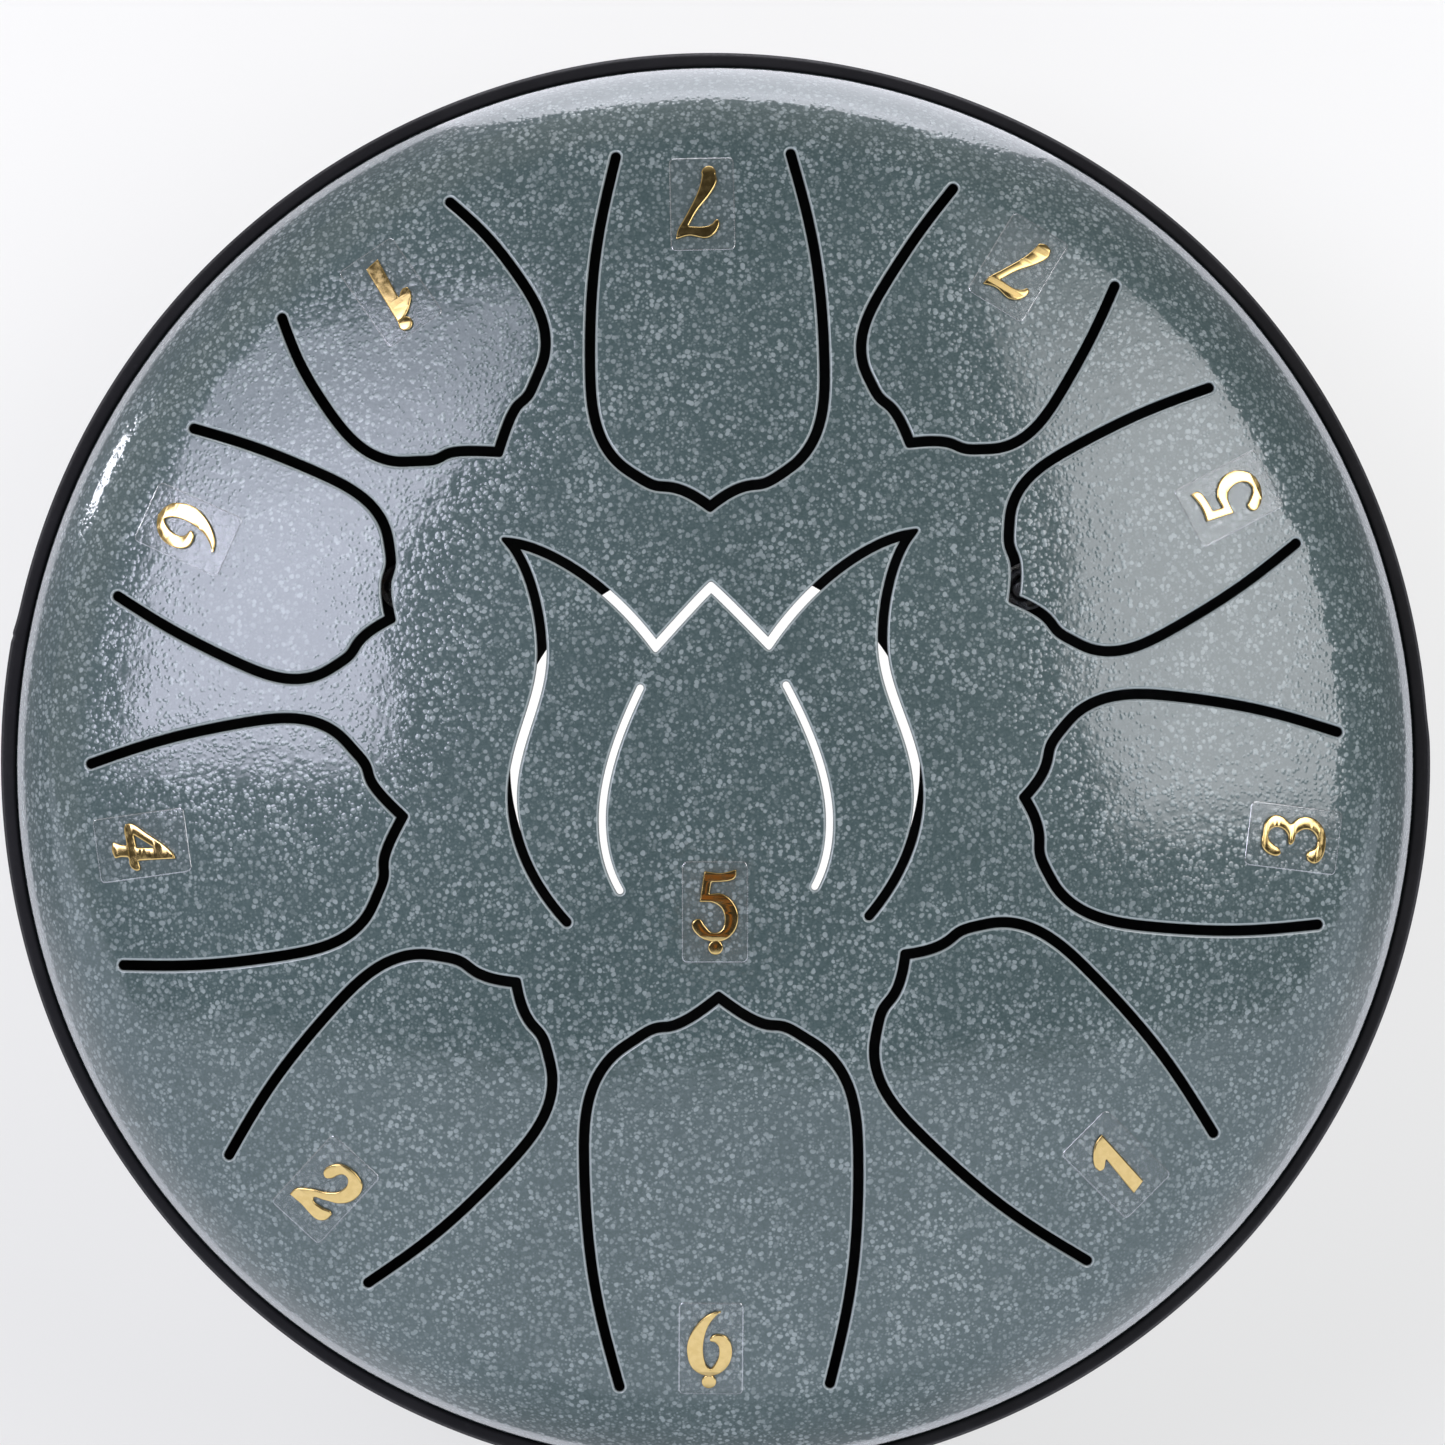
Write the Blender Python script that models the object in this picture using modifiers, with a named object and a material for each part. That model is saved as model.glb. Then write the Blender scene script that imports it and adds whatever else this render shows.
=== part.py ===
"""Eleven-note steel tongue drum, a small relative of the handpan, as an assembly.

Two pressed steel shells meet at their flanges under a rubber rim. Ten pointed
tongues stand round the crown and a lotus-shaped tongue fills its middle. Each
tongue bends about the line between the two ends of its slot, so each is its own
object with its origin on that line. A moulded numeral on a clear film marks each
note. Three rubber feet are bolted to the lower shell, round the sound hole.

Metres, +Z up along the drum's axis, origin in the middle of the resting plane,
-Y towards the longest tongue. Plan outlines and numerals are drawn in mm.
"""

import math
from typing import NamedTuple

import bmesh
import bpy
from mathutils import Matrix, Vector

MM = 0.001

# Shells
JOINT_Z = 62.0 * MM  # height of the plane where the flanges meet
HALF_HEIGHT = 58.0 * MM  # crown above that plane, and the same below it
SHEET = 1.5 * MM
CROWN_R = 320.0 * MM  # sphere of the crown
CROWN_EDGE = 107.0 * MM  # where the crown turns into the shoulder
SHOULDER_R = 22.0 * MM
WALL_DEG = 84.0  # slope of the wall
FLANGE_R = 125.6 * MM
FLANGE_GAP = 0.3 * MM
HOLE_R = 38.75 * MM  # sound hole in the lower shell
CROWN_STEPS = 4
SHOULDER_STEPS = 4
TURN_STEPS = 48
SMOOTH_DEG = 30.0  # sharper edges than this are marked sharp

# Rim
RIM_R = 127.5 * MM
RIM_HALF = 3.6 * MM
RIM_FACE_INSET = 1.3 * MM  # outer edge of the flat face, in from RIM_R
RIM_SIDE_INSET = 0.35 * MM  # where the side begins, in from RIM_R
RIM_SIDE_DROP = 1.1 * MM  # and its distance from the flat face
LIP_R = 124.0 * MM
LIP_BEVEL = 0.4 * MM
GROOVE_R = 125.9 * MM
GROOVE_HALF = 1.95 * MM

# Slots, in mm
SLOT = 1.7
LOTUS_SLOT = 1.55
PETAL_SLOT = 1.2
ROOT_GAP = 0.3  # between a tongue's root and the shell

# Upright cutters through the crown, centred on its top
CUT_HEIGHT = 60.0 * MM
CUT_FRAME = Matrix.Translation((0.0, 0.0, JOINT_Z + HALF_HEIGHT))

# Numerals
FILM_WIDE = 11.0 * MM
FILM_HIGH = 17.0 * MM
FILM_THICK = 0.15 * MM
FILM_CORNER = 0.9 * MM
LIFT = 0.12 * MM  # clearance under the film and under the numeral
NUMERAL_THICK = 0.3 * MM
NUMERAL_STEPS = 2  # points on each curved stretch
DOT_R = 1.25  # mm
DOT_STEPS = 12

# Feet and their fasteners, along the shell's normal
FOOT_CIRCLE = 68.0 * MM
FOOT_BEARINGS = (-90.0, 30.0, 150.0)
FOOT_TOP_R = 10.5 * MM
FOOT_BASE_R = 9.2 * MM
FOOT_DEPTH = 16.0 * MM  # before the resting plane trims it
FOOT_BEVEL_IN = 0.8 * MM
FOOT_BEVEL_END = 1.1 * MM  # below the shell
FOOT_STEPS = 20
COUNTERBORE_R = 4.3 * MM
COUNTERBORE_FLOOR = 5.3 * MM
SCREW_R = 2.0 * MM
SCREW_END = 8.0 * MM
SCREW_BEVEL = 0.5 * MM
SCREW_HEAD_R = 3.6 * MM
SCREW_HEAD = 2.4 * MM
HEAD_SIDE = 1.3 * MM  # straight part of the head's side
HEAD_BEVEL_IN = 1.1 * MM
DRIVE_R = 1.45 * MM  # corners of the hexagonal recess
DRIVE_HEIGHT = 3.0 * MM  # of its cutter, centred on the head's face
HOLE_CLEARANCE = 0.4 * MM
HOLE_CUT_HEIGHT = 8.0 * MM
HOLE_STEPS = 16
WASHER_R = 4.5 * MM
WASHER = 0.8 * MM
NUT_FLATS = 7.0 * MM
NUT = 3.2 * MM
NUT_BORE_STEPS = 12
FASTENER_STEPS = 16
GAP = 0.3 * MM
FLOOR_BOX = (0.3, 0.3, 0.03)  # cutter under the resting plane


class Tongue(NamedTuple):
    """An outer tongue and its numeral: bearings in degrees, lengths in mm."""

    name: str
    bearing: float
    tip: float  # radius of its point on the drum
    length: float
    half_width: float  # at the shoulder
    half_root: float
    neck: float  # length of the hollow neck behind the point
    digit: str
    dot: int  # octave dot: -1 below, 1 above, 0 none
    numeral_radius: float
    numeral_bearing: float


# Columns in the order of Tongue's fields.
TONGUES = (
    Tongue("low_7", 91.1, 43.5, 60.6, 19.75, 14.9, 3.5, "7", -1, 95.4, 91.3),
    Tongue("7", 58.9, 63.5, 41.8, 17.45, 16.1, 3.7, "7", 0, 99.2, 58.7),
    Tongue("5", 29.2, 57.5, 47.5, 17.5, 15.2, 3.6, "5", 0, 98.5, 27.5),
    Tongue("3", -5.8, 52.2, 52.8, 19.55, 16.5, 3.3, "3", 0, 99.1, -7.1),
    Tongue("1", -44.7, 44.9, 59.5, 19.75, 15.3, 3.6, "1", 0, 96.0, -44.8),
    Tongue("low_6", -89.1, 38.7, 66.9, 23.1, 17.95, 4.9, "6", -1, 99.0, -90.4),
    Tongue("2", -132.6, 49.3, 55.6, 19.8, 16.1, 3.5, "2", 0, 97.7, -132.6),
    Tongue("4", -170.8, 53.1, 51.9, 19.95, 17.4, 4.6, "4", 0, 98.3, -172.1),
    Tongue("6", 155.6, 59.9, 44.8, 17.45, 15.7, 3.5, "6", 0, 98.1, 155.8),
    Tongue("high_1", 124.6, 64.2, 40.6, 19.7, 17.4, 4.85, "1", 1, 97.5, 124.4),
)

# The ogee side that all outer tongues share
NECK_RISE = 0.4  # half width where the neck ends, over the tongue's
NECK_HANDLE = (1.17, 1.46)  # (along, across), in neck lengths
NECK_EXIT = (0.31, 1.0)  # direction (along, across) out of the neck
SHOULDER_ALONG = 1.18  # from the point, in half widths
SHOULDER_HANDLES = (0.56, 0.45)  # at the neck and the shoulder, in half widths
SIDE_HANDLES = (0.48, 0.33)  # at the shoulder and the root, in side lengths
ROOT_LEAN = 1.9  # slope at the root, over the side's mean slope

# The lotus, as (across, along) from the middle of its root, in mm. Each row is
# a cubic's start, two handles and end, and its number of steps.
LOTUS_BEARING = 91.2
LOTUS_ROOT = (0.5, -25.6)  # middle of its root line in the drum's plan, in mm
LOTUS_NUMERAL_RADIUS = 24.4 * MM
LOTUS_NUMERAL_BEARING = -90.0
LOTUS_SIDE = (  # belly, waist and ear
    ((25.3, 0.0), (29.9, 5.2), (34.0, 12.5), (34.0, 20.5), 5),
    ((34.0, 20.5), (34.0, 30.0), (28.5, 36.8), (28.5, 45.5), 5),
    ((28.5, 45.5), (28.5, 52.3), (30.5, 60.0), (33.6, 63.8), 4),
)
# From the ear to the dip beside the middle petal
LOTUS_BROW = (((33.6, 63.8), (28.2, 63.2), (17.7, 57.5), (9.45, 45.8), 5),)
# From the dip to the middle petal's point
LOTUS_PEAK = (((9.45, 45.8), (7.0, 48.4), (2.6, 53.2), (0.0, 55.6), 3),)
LOTUS_PETAL = (  # the slot inside each half
    ((12.2, 38.9), (15.2, 33.0), (19.0, 24.5), (19.0, 16.5), 5),
    ((19.0, 16.5), (19.0, 12.3), (18.2, 8.5), (16.3, 5.1), 3),
)

# Numeral outlines as (x, y) in mm, centred on the numeral, +Y up. A third value
# marks a corner. The second outline of the 4 is its opening.
NUMERALS = {
    "1": (
        [
            (1.9, 5.9, 1), (0.3, 5.7), (-1.5, 4.5), (-2.8, 2.8), (-2.9, 1.5, 1),
            (-2.0, 1.2), (-0.6, 2.2, 1), (-1.4, -5.9, 1), (1.3, -5.5, 1),
        ],
    ),
    "2": (
        [
            (-4.4, -5.3, 1), (-4.2, -3.6), (-2.2, -1.8), (0.0, -0.4), (1.4, 1.1),
            (1.8, 2.8), (1.2, 4.0), (0.2, 4.1), (-0.5, 3.2), (-0.9, 2.1),
            (-1.9, 1.4), (-2.8, 2.3), (-2.4, 4.1), (-1.0, 5.4), (1.4, 5.8),
            (3.5, 5.2), (4.4, 3.6), (4.2, 1.4), (2.9, -0.4), (0.6, -1.8),
            (-0.9, -2.9), (1.2, -3.1), (2.7, -2.5), (3.3, -2.8, 1),
            (3.1, -4.4), (1.7, -5.4), (-1.7, -5.2),
        ],
    ),
    "3": (
        [
            (-3.4, 3.0), (-3.1, 4.6), (-1.9, 5.8), (0.2, 5.9), (2.0, 5.7),
            (3.4, 4.4), (3.4, 2.7), (2.3, 0.9, 1), (3.5, -0.4), (3.9, -2.2),
            (3.1, -4.3), (1.3, -5.6), (-1.2, -5.9), (-3.0, -5.4), (-3.9, -4.2),
            (-3.4, -2.9), (-2.2, -2.7), (-1.3, -4.0), (0.2, -4.3), (1.4, -3.3),
            (1.7, -1.8), (0.8, -0.3), (-0.8, 0.1), (-1.2, 0.8), (0.4, 1.3),
            (1.3, 2.4), (1.4, 3.9), (0.5, 4.8), (-0.7, 4.6), (-1.5, 3.6),
            (-2.1, 2.5), (-2.9, 2.2),
        ],
    ),
    "4": (
        [
            (3.0, 6.0, 1), (1.9, 5.6), (0.3, 4.1), (-2.0, 1.3), (-3.8, -0.9),
            (-4.0, -2.1), (-3.2, -2.7), (-0.4, -2.6, 1), (-0.7, -3.8),
            (-1.3, -5.1, 1), (0.1, -5.5), (1.6, -5.1, 1), (1.5, -3.8),
            (1.7, -2.6, 1), (3.2, -2.5), (4.1, -1.6), (4.0, -0.8),
            (2.5, -0.9, 1), (2.7, 2.2),
        ],
        [(0.6, 2.3, 1), (0.2, -0.9, 1), (-2.0, -1.1, 1)],
    ),
    "5": (
        [
            (3.6, 6.1, 1), (3.4, 4.7), (2.2, 4.1), (-0.6, 3.9, 1), (-0.9, 2.0, 1),
            (1.2, 2.0), (3.0, 0.7), (3.9, -1.7), (3.2, -4.4), (1.0, -6.0),
            (-1.7, -5.7), (-3.5, -4.3), (-3.8, -2.8), (-2.6, -2.2),
            (-1.6, -3.4), (-0.4, -4.5), (1.0, -4.1), (1.6, -2.4), (1.1, -0.5),
            (-0.4, 0.5), (-2.6, 0.6, 1), (-2.2, 3.2), (-1.8, 5.8, 1), (1.0, 5.5),
        ],
    ),
    "6": (
        [
            (2.0, 6.1, 1), (0.2, 5.7), (-1.6, 4.3), (-3.0, 2.3), (-3.8, 0.1),
            (-3.8, -2.2), (-3.1, -4.3), (-1.8, -5.5), (-0.1, -6.1, 1),
            (1.8, -5.4), (3.2, -3.9), (3.8, -1.9), (3.6, 0.1), (2.8, 1.4),
            (1.4, 1.8), (0.3, 1.4), (0.0, 0.6), (0.8, 0.3), (1.5, -0.5),
            (1.5, -2.4), (0.8, -3.9), (0.1, -4.7, 1), (-0.7, -3.6),
            (-1.1, -1.7), (-1.0, 0.7), (-0.3, 3.2), (0.8, 4.9),
        ],
    ),
    "7": (
        [
            (3.7, 6.1, 1), (1.4, 5.5), (-1.4, 6.0), (-3.0, 5.1), (-3.8, 3.3),
            (-3.3, 2.6), (-2.5, 3.4), (-1.2, 3.9), (1.5, 3.8, 1), (0.0, 1.0),
            (-2.4, -2.2), (-3.5, -4.4), (-3.3, -5.7, 1), (-2.0, -6.1),
            (-0.9, -5.6, 1), (-0.7, -4.3), (0.1, -1.9), (2.0, 1.9), (3.4, 4.5),
        ],
    ),
}
# Centre of each digit's octave dot, in mm.
DOTS = {"1": (0.9, 6.8), "5": (0.1, -7.0), "6": (-0.1, -7.0), "7": (-2.1, -6.0)}
# How far a numeral stands off the middle of its film, to the right and up, in mm.
SHIFTS = {
    "low_6": (-0.2, 1.0),
    "low_5": (0.0, 1.1),
    "low_7": (0.9, 0.4),
    "high_1": (0.0, -0.4),
    "2": (0.4, 0.3),
}


# ---------------------------------------------------------------- scene set-up
for old in list(bpy.data.objects):
    bpy.data.objects.remove(old, do_unlink=True)

parts = bpy.data.collections.new("tongue_drum")
cutters = bpy.data.collections.new("cutters")
bpy.context.scene.collection.children.link(parts)
bpy.context.scene.collection.children.link(cutters)


def material(name, colour, roughness, metallic=0.0, alpha=1.0):
    made = bpy.data.materials.new(name)
    made.use_nodes = True
    shader = made.node_tree.nodes["Principled BSDF"]
    shader.inputs["Base Color"].default_value = (*colour, 1.0)
    shader.inputs["Roughness"].default_value = roughness
    shader.inputs["Metallic"].default_value = metallic
    shader.inputs["Alpha"].default_value = alpha
    made.diffuse_color = (*colour, alpha)
    made.roughness = roughness
    made.metallic = metallic
    return made


PAINT = material(
    "hammertone_paint", colour=(0.105, 0.142, 0.152), roughness=0.3, metallic=0.35
)
RUBBER = material("black_rubber", colour=(0.02, 0.02, 0.022), roughness=0.6)
GOLD = material("gold_foil", colour=(0.83, 0.58, 0.2), roughness=0.18, metallic=1.0)
FILM_CLEAR = material("clear_film", colour=(0.8, 0.82, 0.83), roughness=0.1, alpha=0.25)
STEEL = material("zinc_steel", colour=(0.55, 0.56, 0.57), roughness=0.35, metallic=1.0)


def add_part(obj, paint):
    parts.objects.link(obj)
    # The nuts share one mesh, so it may already hold its material.
    obj.data.materials.clear()
    obj.data.materials.append(paint)
    return obj


def add_cutter(name, mesh, frame):
    obj = bpy.data.objects.new(name, mesh)
    obj.matrix_basis = frame
    cutters.objects.link(obj)
    obj.hide_render = True
    obj.display_type = "WIRE"
    return obj


# -------------------------------------------------------------- mesh builders
def realised(obj):
    """The object's evaluated mesh, welded, in its own frame. Removes the object."""
    bpy.context.scene.collection.objects.link(obj)
    bpy.context.view_layer.update()
    graph = bpy.context.evaluated_depsgraph_get()
    mesh = bpy.data.meshes.new_from_object(obj.evaluated_get(graph))
    work = bmesh.new()
    work.from_mesh(mesh)
    bmesh.ops.remove_doubles(work, verts=work.verts, dist=1e-7)
    bmesh.ops.recalc_face_normals(work, faces=work.faces)
    work.to_mesh(mesh)
    work.free()
    mesh.shade_smooth()
    mesh.set_sharp_from_angle(angle=math.radians(SMOOTH_DEG))
    bpy.data.objects.remove(obj, do_unlink=True)
    return mesh


def turned(name, profile, closed, steps=TURN_STEPS, lift=0.0):
    """An (x, z) profile as an object with a Screw modifier about its Z axis."""
    points = [(x, 0.0, z + lift) for x, z in profile]
    edges = [(i, i + 1) for i in range(len(points) - 1)]
    if closed:
        edges.append((len(points) - 1, 0))
    mesh = bpy.data.meshes.new(name)
    mesh.from_pydata(points, edges, [])
    obj = bpy.data.objects.new(name, mesh)
    screw = obj.modifiers.new("turn", "SCREW")
    screw.axis = "Z"
    screw.angle = math.tau
    screw.steps = screw.render_steps = steps
    screw.use_merge_vertices = True
    screw.merge_threshold = 1e-6
    screw.use_smooth_shade = True
    return obj


def flat_solid(name, outlines, thickness):
    """A closed mesh from flat outlines in XY, this thick, centred on Z = 0."""
    curve = bpy.data.curves.new(name, "CURVE")
    curve.dimensions = "2D"
    curve.fill_mode = "BOTH"
    curve.extrude = thickness / 2
    for outline in outlines:
        spline = curve.splines.new("POLY")
        spline.points.add(len(outline) - 1)
        for point, (x, y) in zip(spline.points, outline):
            point.co = (x, y, 0.0, 1.0)
        spline.use_cyclic_u = True
    return realised(bpy.data.objects.new(name, curve))


def boolean(obj, cutter, operation):
    modifier = obj.modifiers.new(operation.lower(), "BOOLEAN")
    modifier.operation = operation
    modifier.solver = "EXACT"
    modifier.object = cutter


def cut_crown(obj, name, outlines, operation):
    """Cut the object with an upright cutter of these plan outlines."""
    mesh = flat_solid(name, outlines, CUT_HEIGHT)
    boolean(obj, add_cutter(name, mesh, CUT_FRAME), operation)


def circle(centre, radius, count):
    return [
        (
            centre[0] + radius * math.cos(math.tau * k / count),
            centre[1] + radius * math.sin(math.tau * k / count),
        )
        for k in range(count)
    ]


# -------------------------------------------------------------- plan outlines
def bezier(start, start_handle, end_handle, end, count):
    """Points on a cubic, leaving out the first."""
    found = []
    for i in range(1, count + 1):
        t = i / count
        u = 1 - t
        x, y = (
            u**3 * start[k]
            + 3 * u * u * t * start_handle[k]
            + 3 * u * t * t * end_handle[k]
            + t**3 * end[k]
            for k in (0, 1)
        )
        found.append((x, y))
    return found


def chained(curves):
    line = [curves[0][0]]
    for curve in curves:
        line += bezier(*curve)
    return line


def offset(line, distance):
    """The polyline moved to its left by distance, and mitred at its points."""
    points = [Vector(point) for point in line]
    headings = [(b - a).normalized() for a, b in zip(points, points[1:])]
    found = []
    for i, point in enumerate(points):
        before = headings[max(i - 1, 0)]
        after = headings[min(i, len(headings) - 1)]
        normal = Vector((-before.y - after.y, before.x + after.x)).normalized()
        reach = distance / max(0.25, normal.dot(Vector((-after.y, after.x))))
        found.append(point + reach * normal)
    return found


def point_at(start, end, axis, value):
    """The point on the line through start and end with this X (0) or Y (1)."""
    t = (value - start[axis]) / (end[axis] - start[axis])
    return start + t * (end - start)


def crossing(a, b, c, d):
    """Shares of a-b and of c-d at which the lines cross, or None if parallel."""
    first, second = b - a, d - c
    cross = first.x * second.y - first.y * second.x
    if abs(cross) < 1e-9:
        return None
    return (
        ((c.x - a.x) * second.y - (c.y - a.y) * second.x) / cross,
        ((c.x - a.x) * first.y - (c.y - a.y) * first.x) / cross,
    )


def joined(first, second):
    """Two offset lines cut where they cross, or run on to the corner they make."""
    met = None
    for i in range(len(first) - 1, 0, -1):
        for j in range(len(second) - 1):
            shares = crossing(first[i - 1], first[i], second[j], second[j + 1])
            if shares and min(shares) >= 0 and max(shares) <= 1:
                met = (i, j, shares[0])
    if met is None:
        shares = crossing(first[-2], first[-1], second[0], second[1])
        met = (len(first) - 1, 0, shares[0])
    i, j, share = met
    corner = first[i - 1] + share * (first[i] - first[i - 1])
    return first[:i] + [corner] + second[j + 1 :]


def tongue_half(tongue):
    """One side of a slot, from the point at (0, 0) along +X, in mm.

    The neck is hollow, like an ogee arch. It rounds into the shoulder, and the
    side then bows gently in to the root.
    """
    wide, neck = tongue.half_width, tongue.neck
    point = (0.0, 0.0)
    neck_end = (neck, NECK_RISE * wide)
    shoulder = (SHOULDER_ALONG * wide, wide)
    root = (tongue.length, tongue.half_root)
    side = tongue.length - shoulder[0]
    neck_exit = Vector(NECK_EXIT).normalized()
    lean = Vector((1.0, -ROOT_LEAN * (wide - tongue.half_root) / side)).normalized()
    neck_handle = (NECK_HANDLE[0] * neck, NECK_HANDLE[1] * neck)
    exit_handle = (
        neck_end[0] + SHOULDER_HANDLES[0] * wide * neck_exit.x,
        neck_end[1] + SHOULDER_HANDLES[0] * wide * neck_exit.y,
    )
    root_handle = (
        root[0] - SIDE_HANDLES[1] * side * lean.x,
        root[1] - SIDE_HANDLES[1] * side * lean.y,
    )
    before_shoulder = (shoulder[0] - SHOULDER_HANDLES[1] * wide, wide)
    after_shoulder = (shoulder[0] + SIDE_HANDLES[0] * side, wide)
    return chained(
        (
            (point, neck_handle, neck_end, neck_end, 5),
            (neck_end, exit_handle, before_shoulder, shoulder, 7),
            (shoulder, after_shoulder, root_handle, root, 5),
        )
    )


def from_axis(line):
    """The polyline cut, or run on, to start on the axis Y = 0."""
    while len(line) > 2 and line[1].y <= 0:
        line = line[1:]
    return [point_at(line[0], line[1], 1, 0.0)] + line[1:]


def to_reach(line, reach):
    """The polyline cut, or run on, to end at X = reach."""
    while len(line) > 2 and line[-2].x >= reach:
        line = line[:-1]
    return line[:-1] + [point_at(line[-2], line[-1], 0, reach)]


def tongue_outline(tongue, side, reach):
    """Closed outline in the drum's plan in metres, moved out by side in mm."""
    half = to_reach(from_axis(offset(tongue_half(tongue), side)), reach)
    around = [(p.x, p.y) for p in half] + [(p.x, -p.y) for p in half[:0:-1]]
    a = math.radians(tongue.bearing)
    return [
        (
            ((tongue.tip + x) * math.cos(a) - y * math.sin(a)) * MM,
            ((tongue.tip + x) * math.sin(a) + y * math.cos(a)) * MM,
        )
        for x, y in around
    ]


def lotus_point(across, along):
    """A point of the lotus, given in mm, in the drum's plan in metres."""
    a = math.radians(LOTUS_BEARING)
    x = LOTUS_ROOT[0] + along * math.cos(a) + across * math.sin(a)
    y = LOTUS_ROOT[1] + along * math.sin(a) - across * math.cos(a)
    return (x * MM, y * MM)


def lotus_outline(side, start):
    """Closed outline of the lotus, moved out by side, from this height up."""
    body, brow, peak = (
        offset(chained(curves), -side) for curves in (LOTUS_SIDE, LOTUS_BROW, LOTUS_PEAK)
    )
    half = joined(joined(body, brow), peak)
    half[0] = point_at(half[0], half[1], 1, start)
    half[-1] = point_at(half[-2], half[-1], 0, 0.0)
    around = [(p.x, p.y) for p in half] + [(-p.x, p.y) for p in half[-2::-1]]
    return [lotus_point(x, y) for x, y in around]


def petal_outline(mirror):
    """The petal slot with rounded ends, in one half (1) or the other (-1)."""
    line = chained(LOTUS_PETAL)
    left, right = offset(line, PETAL_SLOT / 2), offset(line, -PETAL_SLOT / 2)
    around = []
    for edge, tail in ((left, line[-1]), (right[::-1], line[0])):
        around += edge
        arm = edge[-1] - Vector(tail)
        for k in (1, 2, 3):
            around.append(Vector(tail) + Matrix.Rotation(-math.pi * k / 4, 2) @ arm)
    return [lotus_point(mirror * p.x, p.y) for p in around]


# ------------------------------------------------------------- shell profiles
def polar(centre, radius, degrees):
    """A point at this slope on an arc, where 0 is straight up."""
    a = math.radians(degrees)
    return (centre[0] + radius * math.sin(a), centre[1] + radius * math.cos(a))


CROWN_DEG = math.degrees(math.asin(CROWN_EDGE / CROWN_R))
CROWN_CENTRE = (0.0, HALF_HEIGHT - CROWN_R)
SHOULDER_CENTRE = polar(CROWN_CENTRE, CROWN_R - SHOULDER_R, CROWN_DEG)


def crown_height(radius):
    """Height of the crown's outer surface over the flange plane."""
    return CROWN_CENTRE[1] + math.sqrt(CROWN_R**2 - radius**2)


def wall_point(depth, height):
    """A point on the wall, this deep in the sheet, at this height."""
    top = polar(SHOULDER_CENTRE, SHOULDER_R - depth, WALL_DEG)
    lean = math.tan(math.radians(90.0 - WALL_DEG))
    return (top[0] + (top[1] - height) * lean, height)


def crown_arc(depth, first=0.0):
    """The crown from this slope to its edge, this deep in the sheet."""
    return [
        polar(CROWN_CENTRE, CROWN_R - depth, first + (CROWN_DEG - first) * i / CROWN_STEPS)
        for i in range(CROWN_STEPS + 1)
    ]


def shoulder_arc(depth):
    """The shoulder down to the wall, leaving out its first point."""
    span = WALL_DEG - CROWN_DEG
    return [
        polar(SHOULDER_CENTRE, SHOULDER_R - depth, CROWN_DEG + span * i / SHOULDER_STEPS)
        for i in range(1, SHOULDER_STEPS + 1)
    ]


def half_shell(inner_edge):
    """The outer line from this radius to the flange, and the inner line back."""
    first = math.degrees(math.asin(inner_edge / CROWN_R))
    outer, inner = (crown_arc(depth, first) + shoulder_arc(depth) for depth in (0.0, SHEET))
    low = FLANGE_GAP / 2
    flange = [
        wall_point(0.0, low + SHEET),
        (FLANGE_R, low + SHEET),
        (FLANGE_R, low),
        wall_point(SHEET, low),
    ]
    return outer + flange + inner[::-1]


# ------------------------------------------------------------- shells and rim
def build_top_shell():
    shell = add_part(turned("top_shell", half_shell(0.0), False, lift=JOINT_Z), PAINT)
    openings = [tongue_outline(tongue, SLOT / 2, tongue.length) for tongue in TONGUES]
    openings.append(lotus_outline(LOTUS_SLOT / 2, 0.0))
    cut_crown(shell, "slot_cutter", openings, "DIFFERENCE")


def build_bottom_shell():
    profile = [(x, -z) for x, z in half_shell(HOLE_R)[::-1]]
    return add_part(turned("bottom_shell", profile, True, lift=JOINT_Z), PAINT)


def build_rim():
    outside = [
        (LIP_R + LIP_BEVEL, RIM_HALF),
        (RIM_R - RIM_FACE_INSET, RIM_HALF),
        (RIM_R - RIM_SIDE_INSET, RIM_HALF - RIM_SIDE_DROP),
        (RIM_R, 0.0),
    ]
    groove = [
        (LIP_R, -RIM_HALF + LIP_BEVEL),
        (LIP_R, -GROOVE_HALF),
        (GROOVE_R, -GROOVE_HALF),
        (GROOVE_R, GROOVE_HALF),
        (LIP_R, GROOVE_HALF),
        (LIP_R, RIM_HALF - LIP_BEVEL),
    ]
    profile = outside + [(x, -z) for x, z in outside[-2::-1]] + groove
    add_part(turned("rim_ring", profile, True, lift=JOINT_Z), RUBBER)


# -------------------------------------------------------------------- tongues
def add_tongue(name, blank, outline, root_x, root_y):
    """The crown's sheet inside this outline, with its origin on the bend line."""
    root_z = JOINT_Z + crown_height(math.hypot(root_x, root_y)) - SHEET / 2
    root = Vector((root_x, root_y, root_z))
    mesh = blank.copy()
    mesh.transform(Matrix.Translation(-root))
    obj = bpy.data.objects.new(f"tongue_{name}", mesh)
    obj.location = root
    add_part(obj, PAINT)
    cut_crown(obj, f"outline_{name}", [outline], "INTERSECT")
    return obj


def build_tongues():
    """All eleven tongues. Returns the outer ones by name."""
    profile = crown_arc(0.0) + crown_arc(SHEET)[::-1]
    blank = realised(turned("crown_blank", profile, False, lift=JOINT_Z))
    outer_tongues = {}
    for tongue in TONGUES:
        radius = (tongue.tip + tongue.length) * MM
        a = math.radians(tongue.bearing)
        outline = tongue_outline(tongue, -SLOT / 2, tongue.length - ROOT_GAP)
        outer_tongues[tongue.name] = add_tongue(
            tongue.name, blank, outline, radius * math.cos(a), radius * math.sin(a)
        )
    outline = lotus_outline(-LOTUS_SLOT / 2, ROOT_GAP)
    lotus = add_tongue("low_5", blank, outline, *lotus_point(0.0, 0.0))
    petals = [petal_outline(mirror) for mirror in (1, -1)]
    cut_crown(lotus, "petal_cutter", petals, "DIFFERENCE")
    return outer_tongues


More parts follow.
